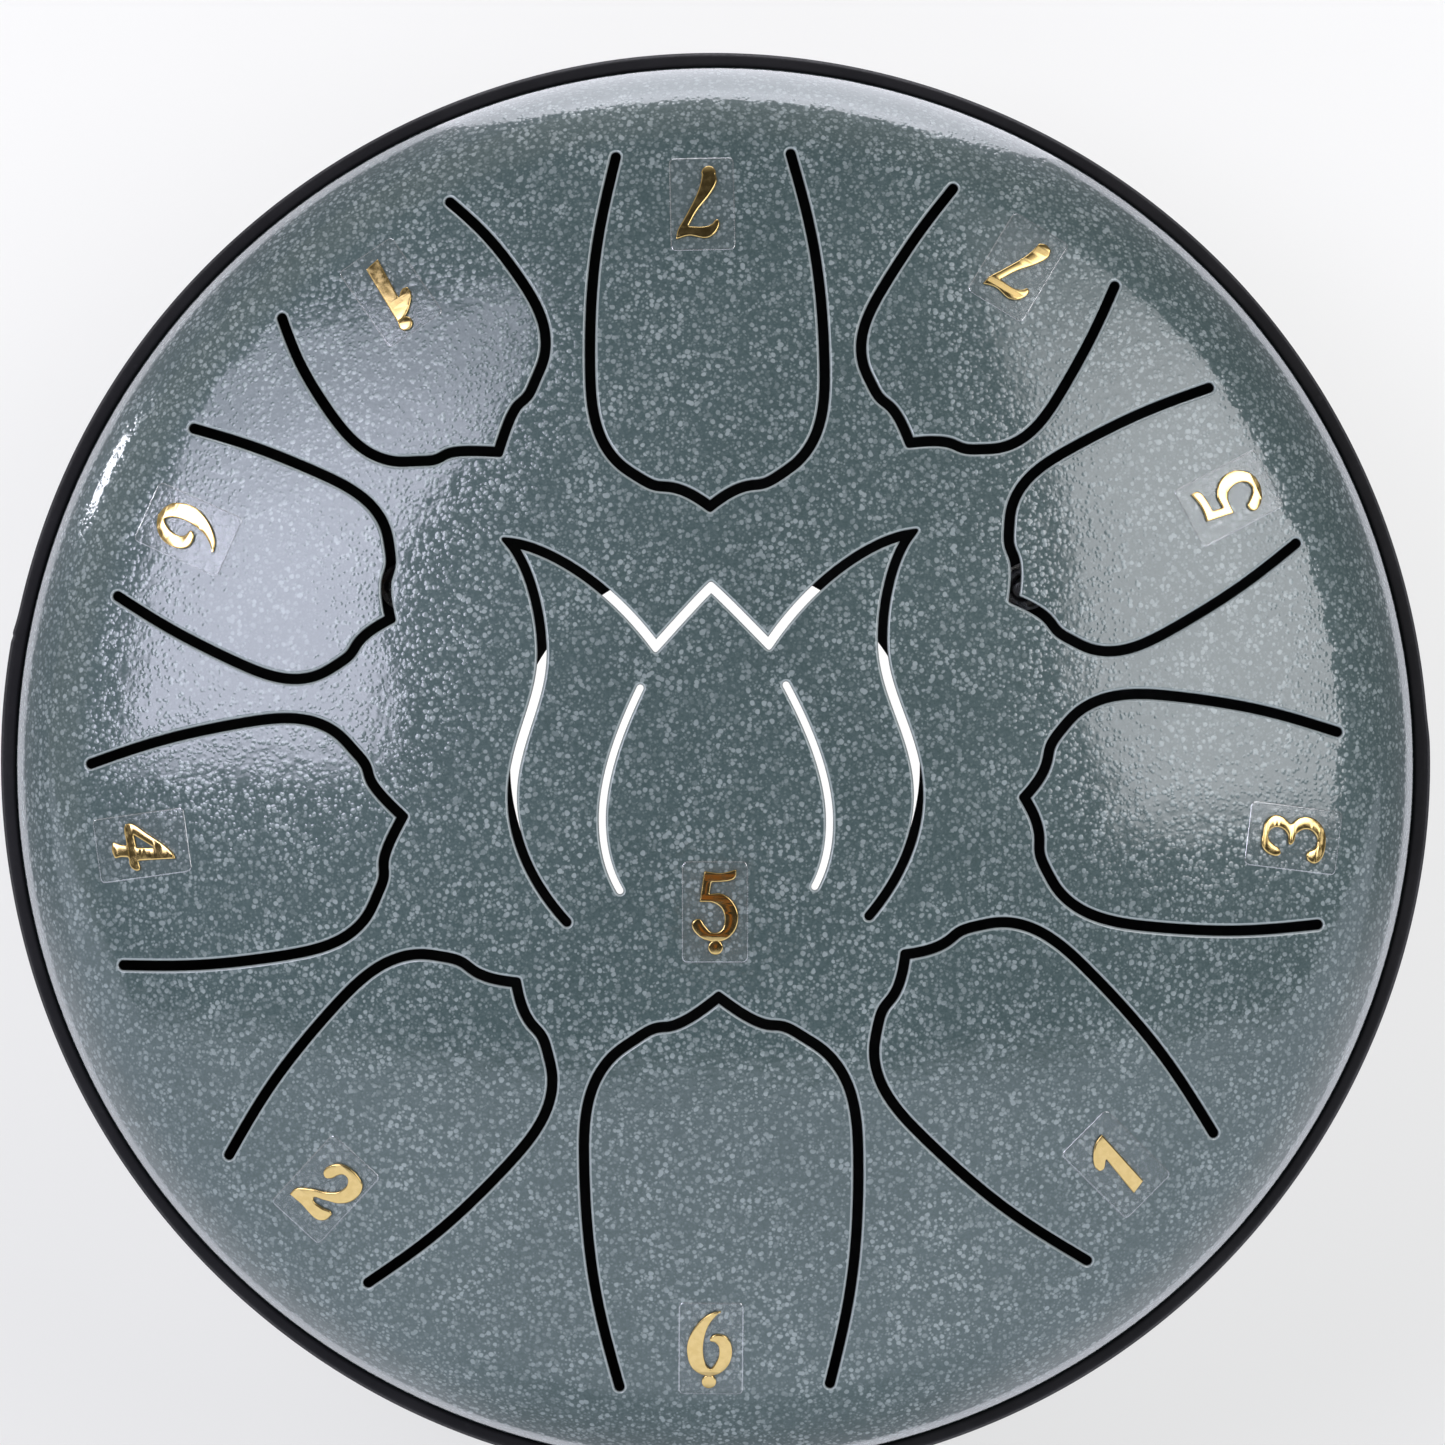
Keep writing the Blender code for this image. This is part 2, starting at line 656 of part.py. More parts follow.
# ------------------------------------------------------------------- numerals
def rounded(points):
    """A smooth closed line through the points, which turns sharply at corners."""
    around = []
    total = len(points)
    for i, here in enumerate(points):
        after = points[(i + 1) % total]
        before, beyond = points[i - 1], points[(i + 2) % total]
        a, b = Vector(here[:2]), Vector(after[:2])
        around.append((a.x, a.y))
        if len(here) == 3 and len(after) == 3:
            continue
        start = (b - Vector(before[:2])) / 2 if len(here) == 2 else b - a
        end = (Vector(beyond[:2]) - a) / 2 if len(after) == 2 else b - a
        span = (b - a).length
        start, end = start.normalized() * span, end.normalized() * span
        around += bezier(a, a + start / 3, b - end / 3, b, NUMERAL_STEPS)[:-1]
    return around


def in_metres(outline):
    return [(x * MM, y * MM) for x, y in outline]


def film_outline():
    around = []
    for quarter, (sx, sy) in enumerate(((1, 1), (-1, 1), (-1, -1), (1, -1))):
        centre_x = sx * (FILM_WIDE / 2 - FILM_CORNER)
        centre_y = sy * (FILM_HIGH / 2 - FILM_CORNER)
        for k in range(3):
            a = math.radians(90 * quarter + 45 * k)
            x = centre_x + FILM_CORNER * math.cos(a)
            y = centre_y + FILM_CORNER * math.sin(a)
            around.append((x, y))
    return around


film_mesh = flat_solid("film", [film_outline()], FILM_THICK)
numeral_meshes = {}


def with_dot(mesh, digit):
    """The numeral's mesh with its octave dot joined to it."""
    outline = in_metres(circle(DOTS[digit], DOT_R, DOT_STEPS))
    spot = bpy.data.objects.new("spot", flat_solid("spot", [outline], NUMERAL_THICK))
    bpy.context.scene.collection.objects.link(spot)
    whole = bpy.data.objects.new("whole", mesh)
    boolean(whole, spot, "UNION")
    mesh = realised(whole)
    bpy.data.objects.remove(spot, do_unlink=True)
    return mesh


def numeral_mesh(digit, dot):
    """The numeral's solid, made once for each digit with or without its dot."""
    if (digit, dot) not in numeral_meshes:
        outlines = [in_metres(rounded(line)) for line in NUMERALS[digit]]
        mesh = flat_solid(f"numeral_{digit}", outlines, NUMERAL_THICK)
        numeral_meshes[digit, dot] = with_dot(mesh, digit) if dot else mesh
    return numeral_meshes[digit, dot]


def on_crown(radius, bearing):
    """Frame on the crown: +Z out of the sheet, +Y up its slope."""
    slope = math.asin(radius / CROWN_R)
    a = math.radians(bearing)
    out = Vector((math.cos(a), math.sin(a), 0.0))
    up = Vector((0.0, 0.0, 1.0))
    z = out * math.sin(slope) + up * math.cos(slope)
    y = up * math.sin(slope) - out * math.cos(slope)
    x = y.cross(z)
    frame = Matrix((x, y, z)).transposed().to_4x4()
    frame.translation = out * radius + up * (JOINT_Z + crown_height(radius))
    return frame


def add_numeral(name, digit, dot, frame, tongue=None):
    """A clear film on the crown with its numeral on top, both on the tongue."""
    film_z = LIFT + FILM_THICK / 2
    numeral_z = 2 * LIFT + FILM_THICK + NUMERAL_THICK / 2
    right, up = SHIFTS.get(name, (0.0, 0.0))
    numeral = numeral_mesh(digit, dot).copy()
    numeral.transform(Matrix.Translation((right * MM, up * MM, 0.0)))
    origin = tongue.location if tongue else Vector()
    for kind, mesh, z, paint in (
        ("film", film_mesh.copy(), film_z, FILM_CLEAR),
        ("numeral", numeral, numeral_z, GOLD),
    ):
        obj = bpy.data.objects.new(f"{kind}_{name}", mesh)
        obj.parent = tongue
        obj.matrix_basis = (
            Matrix.Translation(-origin) @ frame @ Matrix.Translation((0, 0, z))
        )
        add_part(obj, paint)


def build_numerals(outer_tongues):
    for tongue in TONGUES:
        frame = on_crown(tongue.numeral_radius * MM, tongue.numeral_bearing)
        add_numeral(tongue.name, tongue.digit, tongue.dot, frame, outer_tongues[tongue.name])
    # The low 5 stands at the root of the lotus and has no parent.
    frame = on_crown(LOTUS_NUMERAL_RADIUS, LOTUS_NUMERAL_BEARING)
    add_numeral("low_5", "5", -1, frame)


# ----------------------------------------------------------------------- feet
BORE_R = SCREW_R + HOLE_CLEARANCE
HEAD_TOP = -COUNTERBORE_FLOOR - GAP
HEAD_FACE = HEAD_TOP - SCREW_HEAD
WASHER_LOW = SHEET + GAP
NUT_LOW = WASHER_LOW + WASHER + GAP

# Profiles as (radius, height along the normal) from the shell's outside
FOOT_PROFILE = [
    (BORE_R, -GAP),
    (FOOT_TOP_R - FOOT_BEVEL_IN, -GAP),
    (FOOT_TOP_R, -FOOT_BEVEL_END),
    (FOOT_BASE_R, -FOOT_DEPTH),
    (COUNTERBORE_R, -FOOT_DEPTH),
    (COUNTERBORE_R, -COUNTERBORE_FLOOR),
    (BORE_R, -COUNTERBORE_FLOOR),
]
SCREW_PROFILE = [
    (0.0, SCREW_END),
    (SCREW_R - SCREW_BEVEL, SCREW_END),
    (SCREW_R, SCREW_END - SCREW_BEVEL),
    (SCREW_R, HEAD_TOP),
    (SCREW_HEAD_R, HEAD_TOP),
    (SCREW_HEAD_R, HEAD_TOP - HEAD_SIDE),
    (SCREW_HEAD_R - HEAD_BEVEL_IN, HEAD_FACE),
    (0.0, HEAD_FACE),
]
WASHER_PROFILE = [
    (SCREW_R + GAP, WASHER_LOW + WASHER),
    (WASHER_R, WASHER_LOW + WASHER),
    (WASHER_R, WASHER_LOW),
    (SCREW_R + GAP, WASHER_LOW),
]


def foot_frame(bearing):
    """Frame on the lower shell's outside: +Z along the normal into the drum."""
    slope = math.asin(FOOT_CIRCLE / CROWN_R)
    a = math.radians(bearing)
    frame = Matrix.Rotation(a, 4, "Z") @ Matrix.Rotation(-slope, 4, "Y")
    out = Vector((math.cos(a), math.sin(a), 0.0))
    height = JOINT_Z - crown_height(FOOT_CIRCLE)
    frame.translation = out * FOOT_CIRCLE + Vector((0.0, 0.0, height))
    return frame


def add_floor_cutter():
    """A box whose top is the resting plane."""
    work = bmesh.new()
    bmesh.ops.create_cube(work, size=1.0)
    mesh = bpy.data.meshes.new("floor_cutter")
    work.to_mesh(mesh)
    work.free()
    mesh.transform(Matrix.Diagonal((*FLOOR_BOX, 1.0)))
    frame = Matrix.Translation((0.0, 0.0, -FLOOR_BOX[2] / 2))
    return add_cutter("floor_cutter", mesh, frame)


def add_turned(name, profile, closed, steps, frame, paint):
    obj = turned(name, profile, closed, steps=steps)
    obj.matrix_basis = frame
    return add_part(obj, paint)


def build_feet(bottom_shell):
    """Each foot with its screw, washer and nut, and its hole in the shell."""
    floor = add_floor_cutter()
    hexagon = circle((0, 0), NUT_FLATS / 2 / math.cos(math.pi / 6), 6)
    nut_bore = circle((0, 0), SCREW_R + GAP, NUT_BORE_STEPS)
    nut_mesh = flat_solid("nut", [hexagon, nut_bore], NUT)
    drive_mesh = flat_solid("drive", [circle((0, 0), DRIVE_R, 6)], DRIVE_HEIGHT)
    bolt_circle = circle((0, 0), BORE_R, HOLE_STEPS)
    hole_mesh = flat_solid("bolt_hole", [bolt_circle], HOLE_CUT_HEIGHT)

    for number, bearing in enumerate(FOOT_BEARINGS, 1):
        frame = foot_frame(bearing)
        foot = add_turned(f"foot_{number}", FOOT_PROFILE, True, FOOT_STEPS, frame, RUBBER)
        boolean(foot, floor, "DIFFERENCE")

        hole = add_cutter(f"bolt_hole_{number}", hole_mesh.copy(), frame)
        boolean(bottom_shell, hole, "DIFFERENCE")

        drive_frame = frame @ Matrix.Translation((0, 0, HEAD_FACE))
        drive = add_cutter(f"drive_{number}", drive_mesh.copy(), drive_frame)
        screw = add_turned(
            f"foot_screw_{number}", SCREW_PROFILE, False, FASTENER_STEPS, frame, STEEL
        )
        boolean(screw, drive, "DIFFERENCE")

        add_turned(
            f"foot_washer_{number}", WASHER_PROFILE, True, FASTENER_STEPS, frame, STEEL
        )

        nut = bpy.data.objects.new(f"foot_nut_{number}", nut_mesh)
        nut.matrix_basis = frame @ Matrix.Translation((0, 0, NUT_LOW + NUT / 2))
        add_part(nut, STEEL)


# ------------------------------------------------------------------- assembly
build_top_shell()
lower_shell = build_bottom_shell()
pointed_tongues = build_tongues()
build_rim()
build_numerals(pointed_tongues)
build_feet(lower_shell)

for part in parts.objects:
    if part.modifiers:
        part.data.shade_smooth()

bpy.context.view_layer.update()
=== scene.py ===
"""Looks of the eleven-note steel tongue drum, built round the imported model.

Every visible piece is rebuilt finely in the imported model's own frame: the pressed
shells with rolled slot edges, the ten pointed tongues and the lotus, the rubber
rim, the clear films with their moulded numerals, and the bolted feet.
Plan geometry is worked out in millimetres and turned to metres at the end.
"""

import math

import bmesh
import bpy
import numpy as np
from mathutils import Matrix, Vector, geometry, kdtree


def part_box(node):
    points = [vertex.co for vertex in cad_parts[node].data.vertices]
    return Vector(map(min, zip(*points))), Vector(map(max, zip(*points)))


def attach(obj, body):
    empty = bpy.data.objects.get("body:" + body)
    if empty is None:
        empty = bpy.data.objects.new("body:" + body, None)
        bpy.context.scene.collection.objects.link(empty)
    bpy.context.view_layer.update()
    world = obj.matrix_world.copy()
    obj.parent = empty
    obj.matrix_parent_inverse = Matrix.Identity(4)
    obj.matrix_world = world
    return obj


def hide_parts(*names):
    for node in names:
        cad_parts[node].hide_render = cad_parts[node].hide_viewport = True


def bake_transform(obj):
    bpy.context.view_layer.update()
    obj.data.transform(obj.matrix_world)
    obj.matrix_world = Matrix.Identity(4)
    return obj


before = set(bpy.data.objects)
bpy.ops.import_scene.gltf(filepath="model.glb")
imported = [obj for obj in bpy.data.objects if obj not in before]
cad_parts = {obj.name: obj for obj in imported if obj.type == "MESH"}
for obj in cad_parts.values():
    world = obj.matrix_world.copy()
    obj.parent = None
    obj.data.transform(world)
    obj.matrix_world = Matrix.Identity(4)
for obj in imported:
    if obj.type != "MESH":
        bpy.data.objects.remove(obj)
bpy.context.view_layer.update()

MM = 0.001


def box_mm(node):
    low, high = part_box(node)
    return low * 1000, high * 1000


# ------------------------------------------------------------------ dimensions
rim_low, rim_high = box_mm("rim_ring")
JOINT_Z = (rim_low.z + rim_high.z) / 2  # plane where the shells meet
RIM_R = (rim_high.x - rim_low.x) / 2
RIM_HALF = (rim_high.z - rim_low.z) / 2
HALF_HEIGHT = box_mm("tongue_low_5")[1].z - JOINT_Z  # the crown's top is its own
SHEET = 1.5
CROWN_R = 320.0
CROWN_EDGE = 107.0
SHOULDER_R = 22.0
WALL_DEG = 84.0
FLANGE_R = 125.6
FLANGE_LOW = 0.15
HOLE_R = 38.75
LIP_R = 124.3
GROOVE_R = 125.9
GROOVE_HALF = 1.95
DISC_R = 110.0  # the flat-patterned middle of a shell ends here
AROUND = 360

SLOT = 1.7
LOTUS_SLOT = 1.55
PETAL_SLOT = 1.2
FILLET = 0.5  # painted roll of every cut edge
RINGS = 4

# name, bearing, radius of the point, length, half width at the shoulder, half
# width at the root, neck, numeral, octave dot, numeral's radius and bearing
TONGUES = (
    ("low_7", 91.1, 43.5, 60.6, 19.75, 14.9, 3.5, "7", -1, 95.4, 91.3),
    ("7", 58.9, 63.5, 41.8, 17.45, 16.1, 3.7, "7", 0, 99.2, 58.7),
    ("5", 29.2, 57.5, 47.5, 17.5, 15.2, 3.6, "5", 0, 98.5, 27.5),
    ("3", -5.8, 52.2, 52.8, 19.55, 16.5, 3.3, "3", 0, 99.1, -7.1),
    ("1", -44.7, 44.9, 59.5, 19.75, 15.3, 3.6, "1", 0, 96.0, -44.8),
    ("low_6", -89.1, 38.7, 66.9, 23.1, 17.95, 4.9, "6", -1, 99.0, -90.4),
    ("2", -132.6, 49.3, 55.6, 19.8, 16.1, 3.5, "2", 0, 97.7, -132.6),
    ("4", -170.8, 53.1, 51.9, 19.95, 17.4, 4.6, "4", 0, 98.3, -172.1),
    ("6", 155.6, 59.9, 44.8, 17.45, 15.7, 3.5, "6", 0, 98.1, 155.8),
    ("high_1", 124.6, 64.2, 40.6, 19.7, 17.4, 4.85, "1", 1, 97.5, 124.4),
)
LOTUS_BEARING = 91.2
LOTUS_ROOT = (0.5, -25.6)
LOTUS_NUMERAL_Y = -24.4

FILM = (11.0, 17.0, 0.15)
FILM_CORNER = 0.9
FILM_LIFT = 0.03
DOT_R = 1.25

FOOT_CIRCLE = 68.0
FOOT_BEARINGS = (-90.0, 30.0, 150.0)
FOOT_TOP_R = 10.5
FOOT_BASE_R = 9.2
COUNTERBORE_R = 4.3
COUNTERBORE_FLOOR = 5.3
SCREW_R = 2.0
BORE_R = 2.4
SCREW_HEAD_R = 3.6
SCREW_HEAD = 2.4
WASHER_R = 4.5
WASHER = 0.8
NUT_FLATS = 7.0
NUT = 3.2
GAP = 0.3


# ------------------------------------------------------------------- materials
class Nodes:
    """A small helper for building a node tree."""

    def __init__(self, name):
        self.material = bpy.data.materials.new(name)
        self.material.use_nodes = True
        self.tree = self.material.node_tree
        self.tree.nodes.clear()

    def add(self, kind, settings=None, **inputs):
        node = self.tree.nodes.new(kind)
        for key, value in (settings or {}).items():
            setattr(node, key, value)
        for key, value in inputs.items():
            self.set(node, key.replace("_", " "), value)
        return node

    def set(self, node, key, value):
        socket = node.inputs[int(key[1:])] if key[0] == "#" else node.inputs[key]
        if isinstance(value, bpy.types.NodeSocket):
            self.tree.links.new(value, socket)
        else:
            socket.default_value = value

    def math(self, operation, a, b=0.0, c=0.0, clamp=False):
        node = self.tree.nodes.new("ShaderNodeMath")
        node.operation = operation
        node.use_clamp = clamp
        for socket, value in zip(node.inputs, (a, b, c)):
            if isinstance(value, bpy.types.NodeSocket):
                self.tree.links.new(value, socket)
            else:
                socket.default_value = value
        return node.outputs[0]

    def ramp(self, value, low, high, out_low=0.0, out_high=1.0, smooth=True):
        node = self.tree.nodes.new("ShaderNodeMapRange")
        node.interpolation_type = "SMOOTHSTEP" if smooth else "LINEAR"
        node.clamp = True
        self.tree.links.new(value, node.inputs["Value"])
        for key, number in (
            ("From Min", low),
            ("From Max", high),
            ("To Min", out_low),
            ("To Max", out_high),
        ):
            node.inputs[key].default_value = number
        return node.outputs["Result"]

    def mix(self, factor, a, b, blend="MIX"):
        node = self.tree.nodes.new("ShaderNodeMix")
        node.data_type = "RGBA"
        node.blend_type = blend
        for socket, value in (
            (node.inputs[0], factor),
            (node.inputs[6], a),
            (node.inputs[7], b),
        ):
            if isinstance(value, bpy.types.NodeSocket):
                self.tree.links.new(value, socket)
            elif isinstance(value, tuple) and len(value) == 3:
                socket.default_value = (*value, 1.0)
            else:
                socket.default_value = value
        return node.outputs[2]

    def noise(self, where, scale, detail=2.0, rough=0.5):
        node = self.tree.nodes.new("ShaderNodeTexNoise")
        self.tree.links.new(where, node.inputs["Vector"])
        node.inputs["Scale"].default_value = scale
        node.inputs["Detail"].default_value = detail
        node.inputs["Roughness"].default_value = rough
        return node.outputs["Fac"]

    def cells(self, where, scale, feature="F1"):
        node = self.tree.nodes.new("ShaderNodeTexVoronoi")
        node.feature = feature
        self.tree.links.new(where, node.inputs["Vector"])
        node.inputs["Scale"].default_value = scale
        return node

    def bump(self, height, distance, strength=1.0, normal=None):
        node = self.tree.nodes.new("ShaderNodeBump")
        node.inputs["Distance"].default_value = distance
        node.inputs["Strength"].default_value = strength
        self.tree.links.new(height, node.inputs["Height"])
        if normal is not None:
            self.tree.links.new(normal, node.inputs["Normal"])
        return node.outputs["Normal"]

    def place(self):
        return self.tree.nodes.new("ShaderNodeTexCoord").outputs["Object"]

    def shifted(self, where, shift):
        node = self.tree.nodes.new("ShaderNodeVectorMath")
        node.operation = "ADD"
        self.tree.links.new(where, node.inputs[0])
        node.inputs[1].default_value = shift
        return node.outputs[0]

    def surface(self, **inputs):
        shader = self.tree.nodes.new("ShaderNodeBsdfPrincipled")
        for key, value in inputs.items():
            self.set(shader, key.replace("_", " "), value)
        self.finish(shader.outputs[0])
        return shader

    def finish(self, socket):
        out = self.tree.nodes.new("ShaderNodeOutputMaterial")
        self.tree.links.new(socket, out.inputs["Surface"])
        return self.material


def hammered_paint():
    """Glossy blue-grey paint with pale speckles and a fine orange peel."""
    n = Nodes("hammertone_paint")
    at = n.place()
    wobble = n.tree.nodes.new("ShaderNodeTexNoise")
    n.tree.links.new(at, wobble.inputs["Vector"])
    wobble.inputs["Scale"].default_value = 900.0
    wobble.inputs["Detail"].default_value = 1.0
    bend = n.tree.nodes.new("ShaderNodeVectorMath")
    bend.operation = "MULTIPLY_ADD"
    n.tree.links.new(wobble.outputs["Color"], bend.inputs[0])
    bend.inputs[1].default_value = (0.0005, 0.0005, 0.0005)
    n.tree.links.new(at, bend.inputs[2])
    there = bend.outputs[0]

    masks, domes = [], []
    for scale, shift, inner, outer, gain in (
        (790.0, (0.0, 0.0, 0.0), 0.25, 0.42, 1.0),
        (1150.0, (0.031, 0.017, 0.043), 0.20, 0.42, 0.8),
        (590.0, (0.073, 0.051, 0.019), 0.20, 0.32, 1.0),
        (1500.0, (0.011, 0.067, 0.029), 0.15, 0.46, 0.45),
    ):
        cell = n.cells(n.shifted(there, shift), scale)
        spot = n.ramp(cell.outputs["Distance"], inner, outer, 1.0, 0.0)
        split = n.tree.nodes.new("ShaderNodeSeparateColor")
        n.tree.links.new(cell.outputs["Color"], split.inputs[0])
        level = n.ramp(split.outputs[0], 0.04, 0.62, 0.0, gain, smooth=False)
        masks.append(n.math("MULTIPLY", spot, level))
        dome = n.ramp(cell.outputs["Distance"], 0.0, outer * 1.12, 1.0, 0.0)
        domes.append(n.math("MULTIPLY", dome, n.ramp(level, 0.0, 0.5)))
    speckle, droplets = masks[0], domes[0]
    for mask in masks[1:]:
        speckle = n.math("MAXIMUM", speckle, mask)
    for dome in domes[1:3]:
        droplets = n.math("MAXIMUM", droplets, dome)

    drift = n.noise(at, 26.0, 3.0)
    cluster = n.ramp(n.noise(n.shifted(at, (0.2, 0.1, 0.3)), 140.0, 2.0), 0.35, 0.62, 0.55, 0.95)
    speckle_seen = n.math("MULTIPLY", speckle, cluster)
    grain = n.noise(at, 1900.0, 2.0, 0.6)
    base = n.mix(n.ramp(drift, 0.38, 0.62), (0.0445, 0.0755, 0.0735), (0.051, 0.084, 0.082))
    base = n.mix(n.ramp(grain, 0.3, 0.7, 0.0, 0.42), base, (0.098, 0.135, 0.136))
    pale = n.mix(n.ramp(drift, 0.4, 0.6), (0.252, 0.30, 0.297), (0.288, 0.338, 0.332))
    colour = n.mix(speckle_seen, base, pale)
    # painted highlight: the rolled slot edges are coloured paler, standing in for the light their
    # roll catches
    edge_highlight = n.tree.nodes.new("ShaderNodeAttribute")
    edge_highlight.attribute_name = "rolled"
    colour = n.mix(n.ramp(edge_highlight.outputs["Fac"], 0.35, 1.0, 0.0, 0.72), colour, (0.40, 0.45, 0.44))

    peel = n.noise(n.shifted(at, (0.4, 0.7, 0.1)), 560.0, 1.5, 0.5)
    swell = n.noise(n.shifted(at, (0.9, 0.2, 0.6)), 120.0, 1.0)
    height = n.math("MULTIPLY_ADD", droplets, 1.0, peel)
    fine = n.bump(height, 0.000023)
    normal = n.bump(swell, 0.00006, normal=fine)
    rough = n.ramp(grain, 0.3, 0.7, 0.42, 0.54)
    n.surface(
        Base_Color=colour,
        Metallic=0.1,
        Roughness=rough,
        Specular_IOR_Level=0.25,
        Normal=normal,
        Coat_Weight=n.ramp(speckle_seen, 0.0, 1.0, 1.0, 0.8, smooth=False),
        Coat_Roughness=0.04,
        Coat_IOR=1.52,
        Coat_Normal=normal,
    )
    return n.material


def inner_paint_and_shade():
    """Dark primer inside the drum, with overspray; its near-black colour is partly painted shade
    for the unlit inside.
    """
    n = Nodes("inner_primer_and_shade")
    at = n.place()
    dust = n.noise(at, 700.0, 3.0, 0.6)
    patch = n.noise(n.shifted(at, (0.3, 0.1, 0.5)), 22.0, 3.0)
    colour = n.mix(n.ramp(patch, 0.4, 0.65), (0.012, 0.0125, 0.0125), (0.021, 0.022, 0.022))
    colour = n.mix(n.ramp(dust, 0.55, 0.75, 0.0, 0.4), colour, (0.04, 0.042, 0.043))
    n.surface(
        Base_Color=colour,
        Roughness=n.ramp(dust, 0.3, 0.7, 0.55, 0.75),
        Normal=n.bump(dust, 0.00003),
    )
    return n.material


def black_rubber():
    """Matt moulded rubber with fine pores and a little dust."""
    n = Nodes("black_rubber")
    at = n.place()
    pores = n.noise(at, 1500.0, 3.0, 0.65)
    mottled = n.noise(n.shifted(at, (0.1, 0.4, 0.2)), 60.0, 4.0, 0.55)
    dust = n.noise(n.shifted(at, (0.6, 0.1, 0.9)), 420.0, 3.0)
    colour = n.mix(n.ramp(mottled, 0.35, 0.7), (0.0115, 0.0112, 0.0125), (0.0165, 0.0160, 0.0175))
    colour = n.mix(n.ramp(dust, 0.62, 0.8, 0.0, 0.3), colour, (0.035, 0.035, 0.038))
    height = n.math("MULTIPLY_ADD", mottled, 1.5, pores)
    n.surface(
        Base_Color=colour,
        Roughness=n.ramp(pores, 0.3, 0.7, 0.55, 0.7),
        Specular_IOR_Level=0.13,
        Normal=n.bump(height, 0.00003),
    )
    return n.material


def gold_foil():
    """Bright gold foil over moulded plastic, with faint ripples."""
    n = Nodes("gold_foil")
    at = n.place()
    ripple = n.noise(at, 380.0, 3.0, 0.5)
    tone = n.noise(n.shifted(at, (0.2, 0.5, 0.4)), 900.0, 2.0)
    colour = n.mix(n.ramp(tone, 0.3, 0.7), (0.60, 0.432, 0.172), (0.66, 0.485, 0.208))
    n.surface(
        Base_Color=colour,
        Metallic=1.0,
        Roughness=n.ramp(tone, 0.3, 0.75, 0.10, 0.2),
        Normal=n.bump(ripple, 0.00001),
    )
    return n.material


def clear_film(name, least, most, mirror, pale):
    """Thin clear film: what is behind it, with a mirror that grows at a graze."""
    n = Nodes(name)
    at = n.place()
    ripple = n.noise(at, 260.0, 2.0)
    scuff = n.noise(n.shifted(at, (0.3, 0.3, 0.8)), 1500.0, 3.0)
    shine = n.tree.nodes.new("ShaderNodeBsdfPrincipled")
    n.set(shine, "Base Color", (*pale, 1.0))
    n.set(shine, "Roughness", n.ramp(scuff, 0.4, 0.7, 0.06, 0.16))
    n.set(shine, "Specular IOR Level", 0.5)
    n.set(shine, "Metallic", mirror)
    n.set(shine, "Normal", n.bump(ripple, 0.00001))
    clear = n.tree.nodes.new("ShaderNodeBsdfTransparent")
    facing = n.tree.nodes.new("ShaderNodeLayerWeight")
    facing.inputs["Blend"].default_value = 0.5
    share = n.ramp(facing.outputs["Facing"], 0.25, 1.0, least, most)
    mixed = n.tree.nodes.new("ShaderNodeMixShader")
    n.tree.links.new(share, mixed.inputs[0])
    n.tree.links.new(clear.outputs[0], mixed.inputs[1])
    n.tree.links.new(shine.outputs[0], mixed.inputs[2])
    n.finish(mixed.outputs[0])
    return n.material


def zinc_steel():
    """Zinc-plated steel with a faint turned grain and blue-yellow tint."""
    n = Nodes("zinc_steel")
    at = n.place()
    tint = n.noise(at, 180.0, 3.0)
    grain = n.noise(n.shifted(at, (0.4, 0.1, 0.2)), 2600.0, 3.0, 0.6)
    colour = n.mix(n.ramp(tint, 0.35, 0.65), (0.52, 0.54, 0.57), (0.62, 0.60, 0.54))
    n.surface(
        Base_Color=colour,
        Metallic=1.0,
        Roughness=n.ramp(grain, 0.3, 0.7, 0.24, 0.42),
        Normal=n.bump(grain, 0.00001),
    )
    return n.material


PAINT = hammered_paint()
INNER = inner_paint_and_shade()
RUBBER = black_rubber()
GOLD = gold_foil()
FILM_FACE = clear_film("clear_film", 0.021, 0.35, 0.3, (0.93, 0.94, 0.95))
FILM_EDGE = clear_film("clear_film_edge", 0.25, 0.5, 0.8, (0.96, 0.96, 0.97))
STEEL = zinc_steel()


# ------------------------------------------------------------ profile of sheet
CROWN_DEG = math.degrees(math.asin(CROWN_EDGE / CROWN_R))
CROWN_Z = HALF_HEIGHT - CROWN_R
SHOULDER_X = (CROWN_R - SHOULDER_R) * math.sin(math.radians(CROWN_DEG))
SHOULDER_Z = CROWN_Z + (CROWN_R - SHOULDER_R) * math.cos(math.radians(CROWN_DEG))


def sheet_at(radius, depth):
    """Height over the joint plane and slope of the sheet, this deep in it."""
    radius = np.asarray(radius, float)
    crown_r, shoulder_r = CROWN_R - depth, SHOULDER_R - depth
    limit = crown_r * math.sin(math.radians(CROWN_DEG))
    turn = np.clip((radius - SHOULDER_X) / shoulder_r, -1, 1)
    lean = np.clip(radius / crown_r, -1, 1)
    height = np.where(
        radius < limit,
        CROWN_Z + np.sqrt(crown_r**2 - np.minimum(radius, limit) ** 2),
        SHOULDER_Z + shoulder_r * np.sqrt(1 - turn**2),
    )
    slope = np.where(radius < limit, np.arcsin(lean), np.arcsin(turn))
    return height, slope


# ------------------------------------------------------------------ plan lines
def bezier(a, b, c, d, count):
    t = np.linspace(0, 1, count + 1)[1:, None]
    u = 1 - t
    a, b, c, d = (np.array(p, float) for p in (a, b, c, d))
    return u**3 * a + 3 * u * u * t * b + 3 * u * t * t * c + t**3 * d


def chained(curves, times=1):
    line = [np.array([curves[0][0]], float)]
    for *points, count in curves:
        line.append(bezier(*points, count * times))
    return np.concatenate(line)


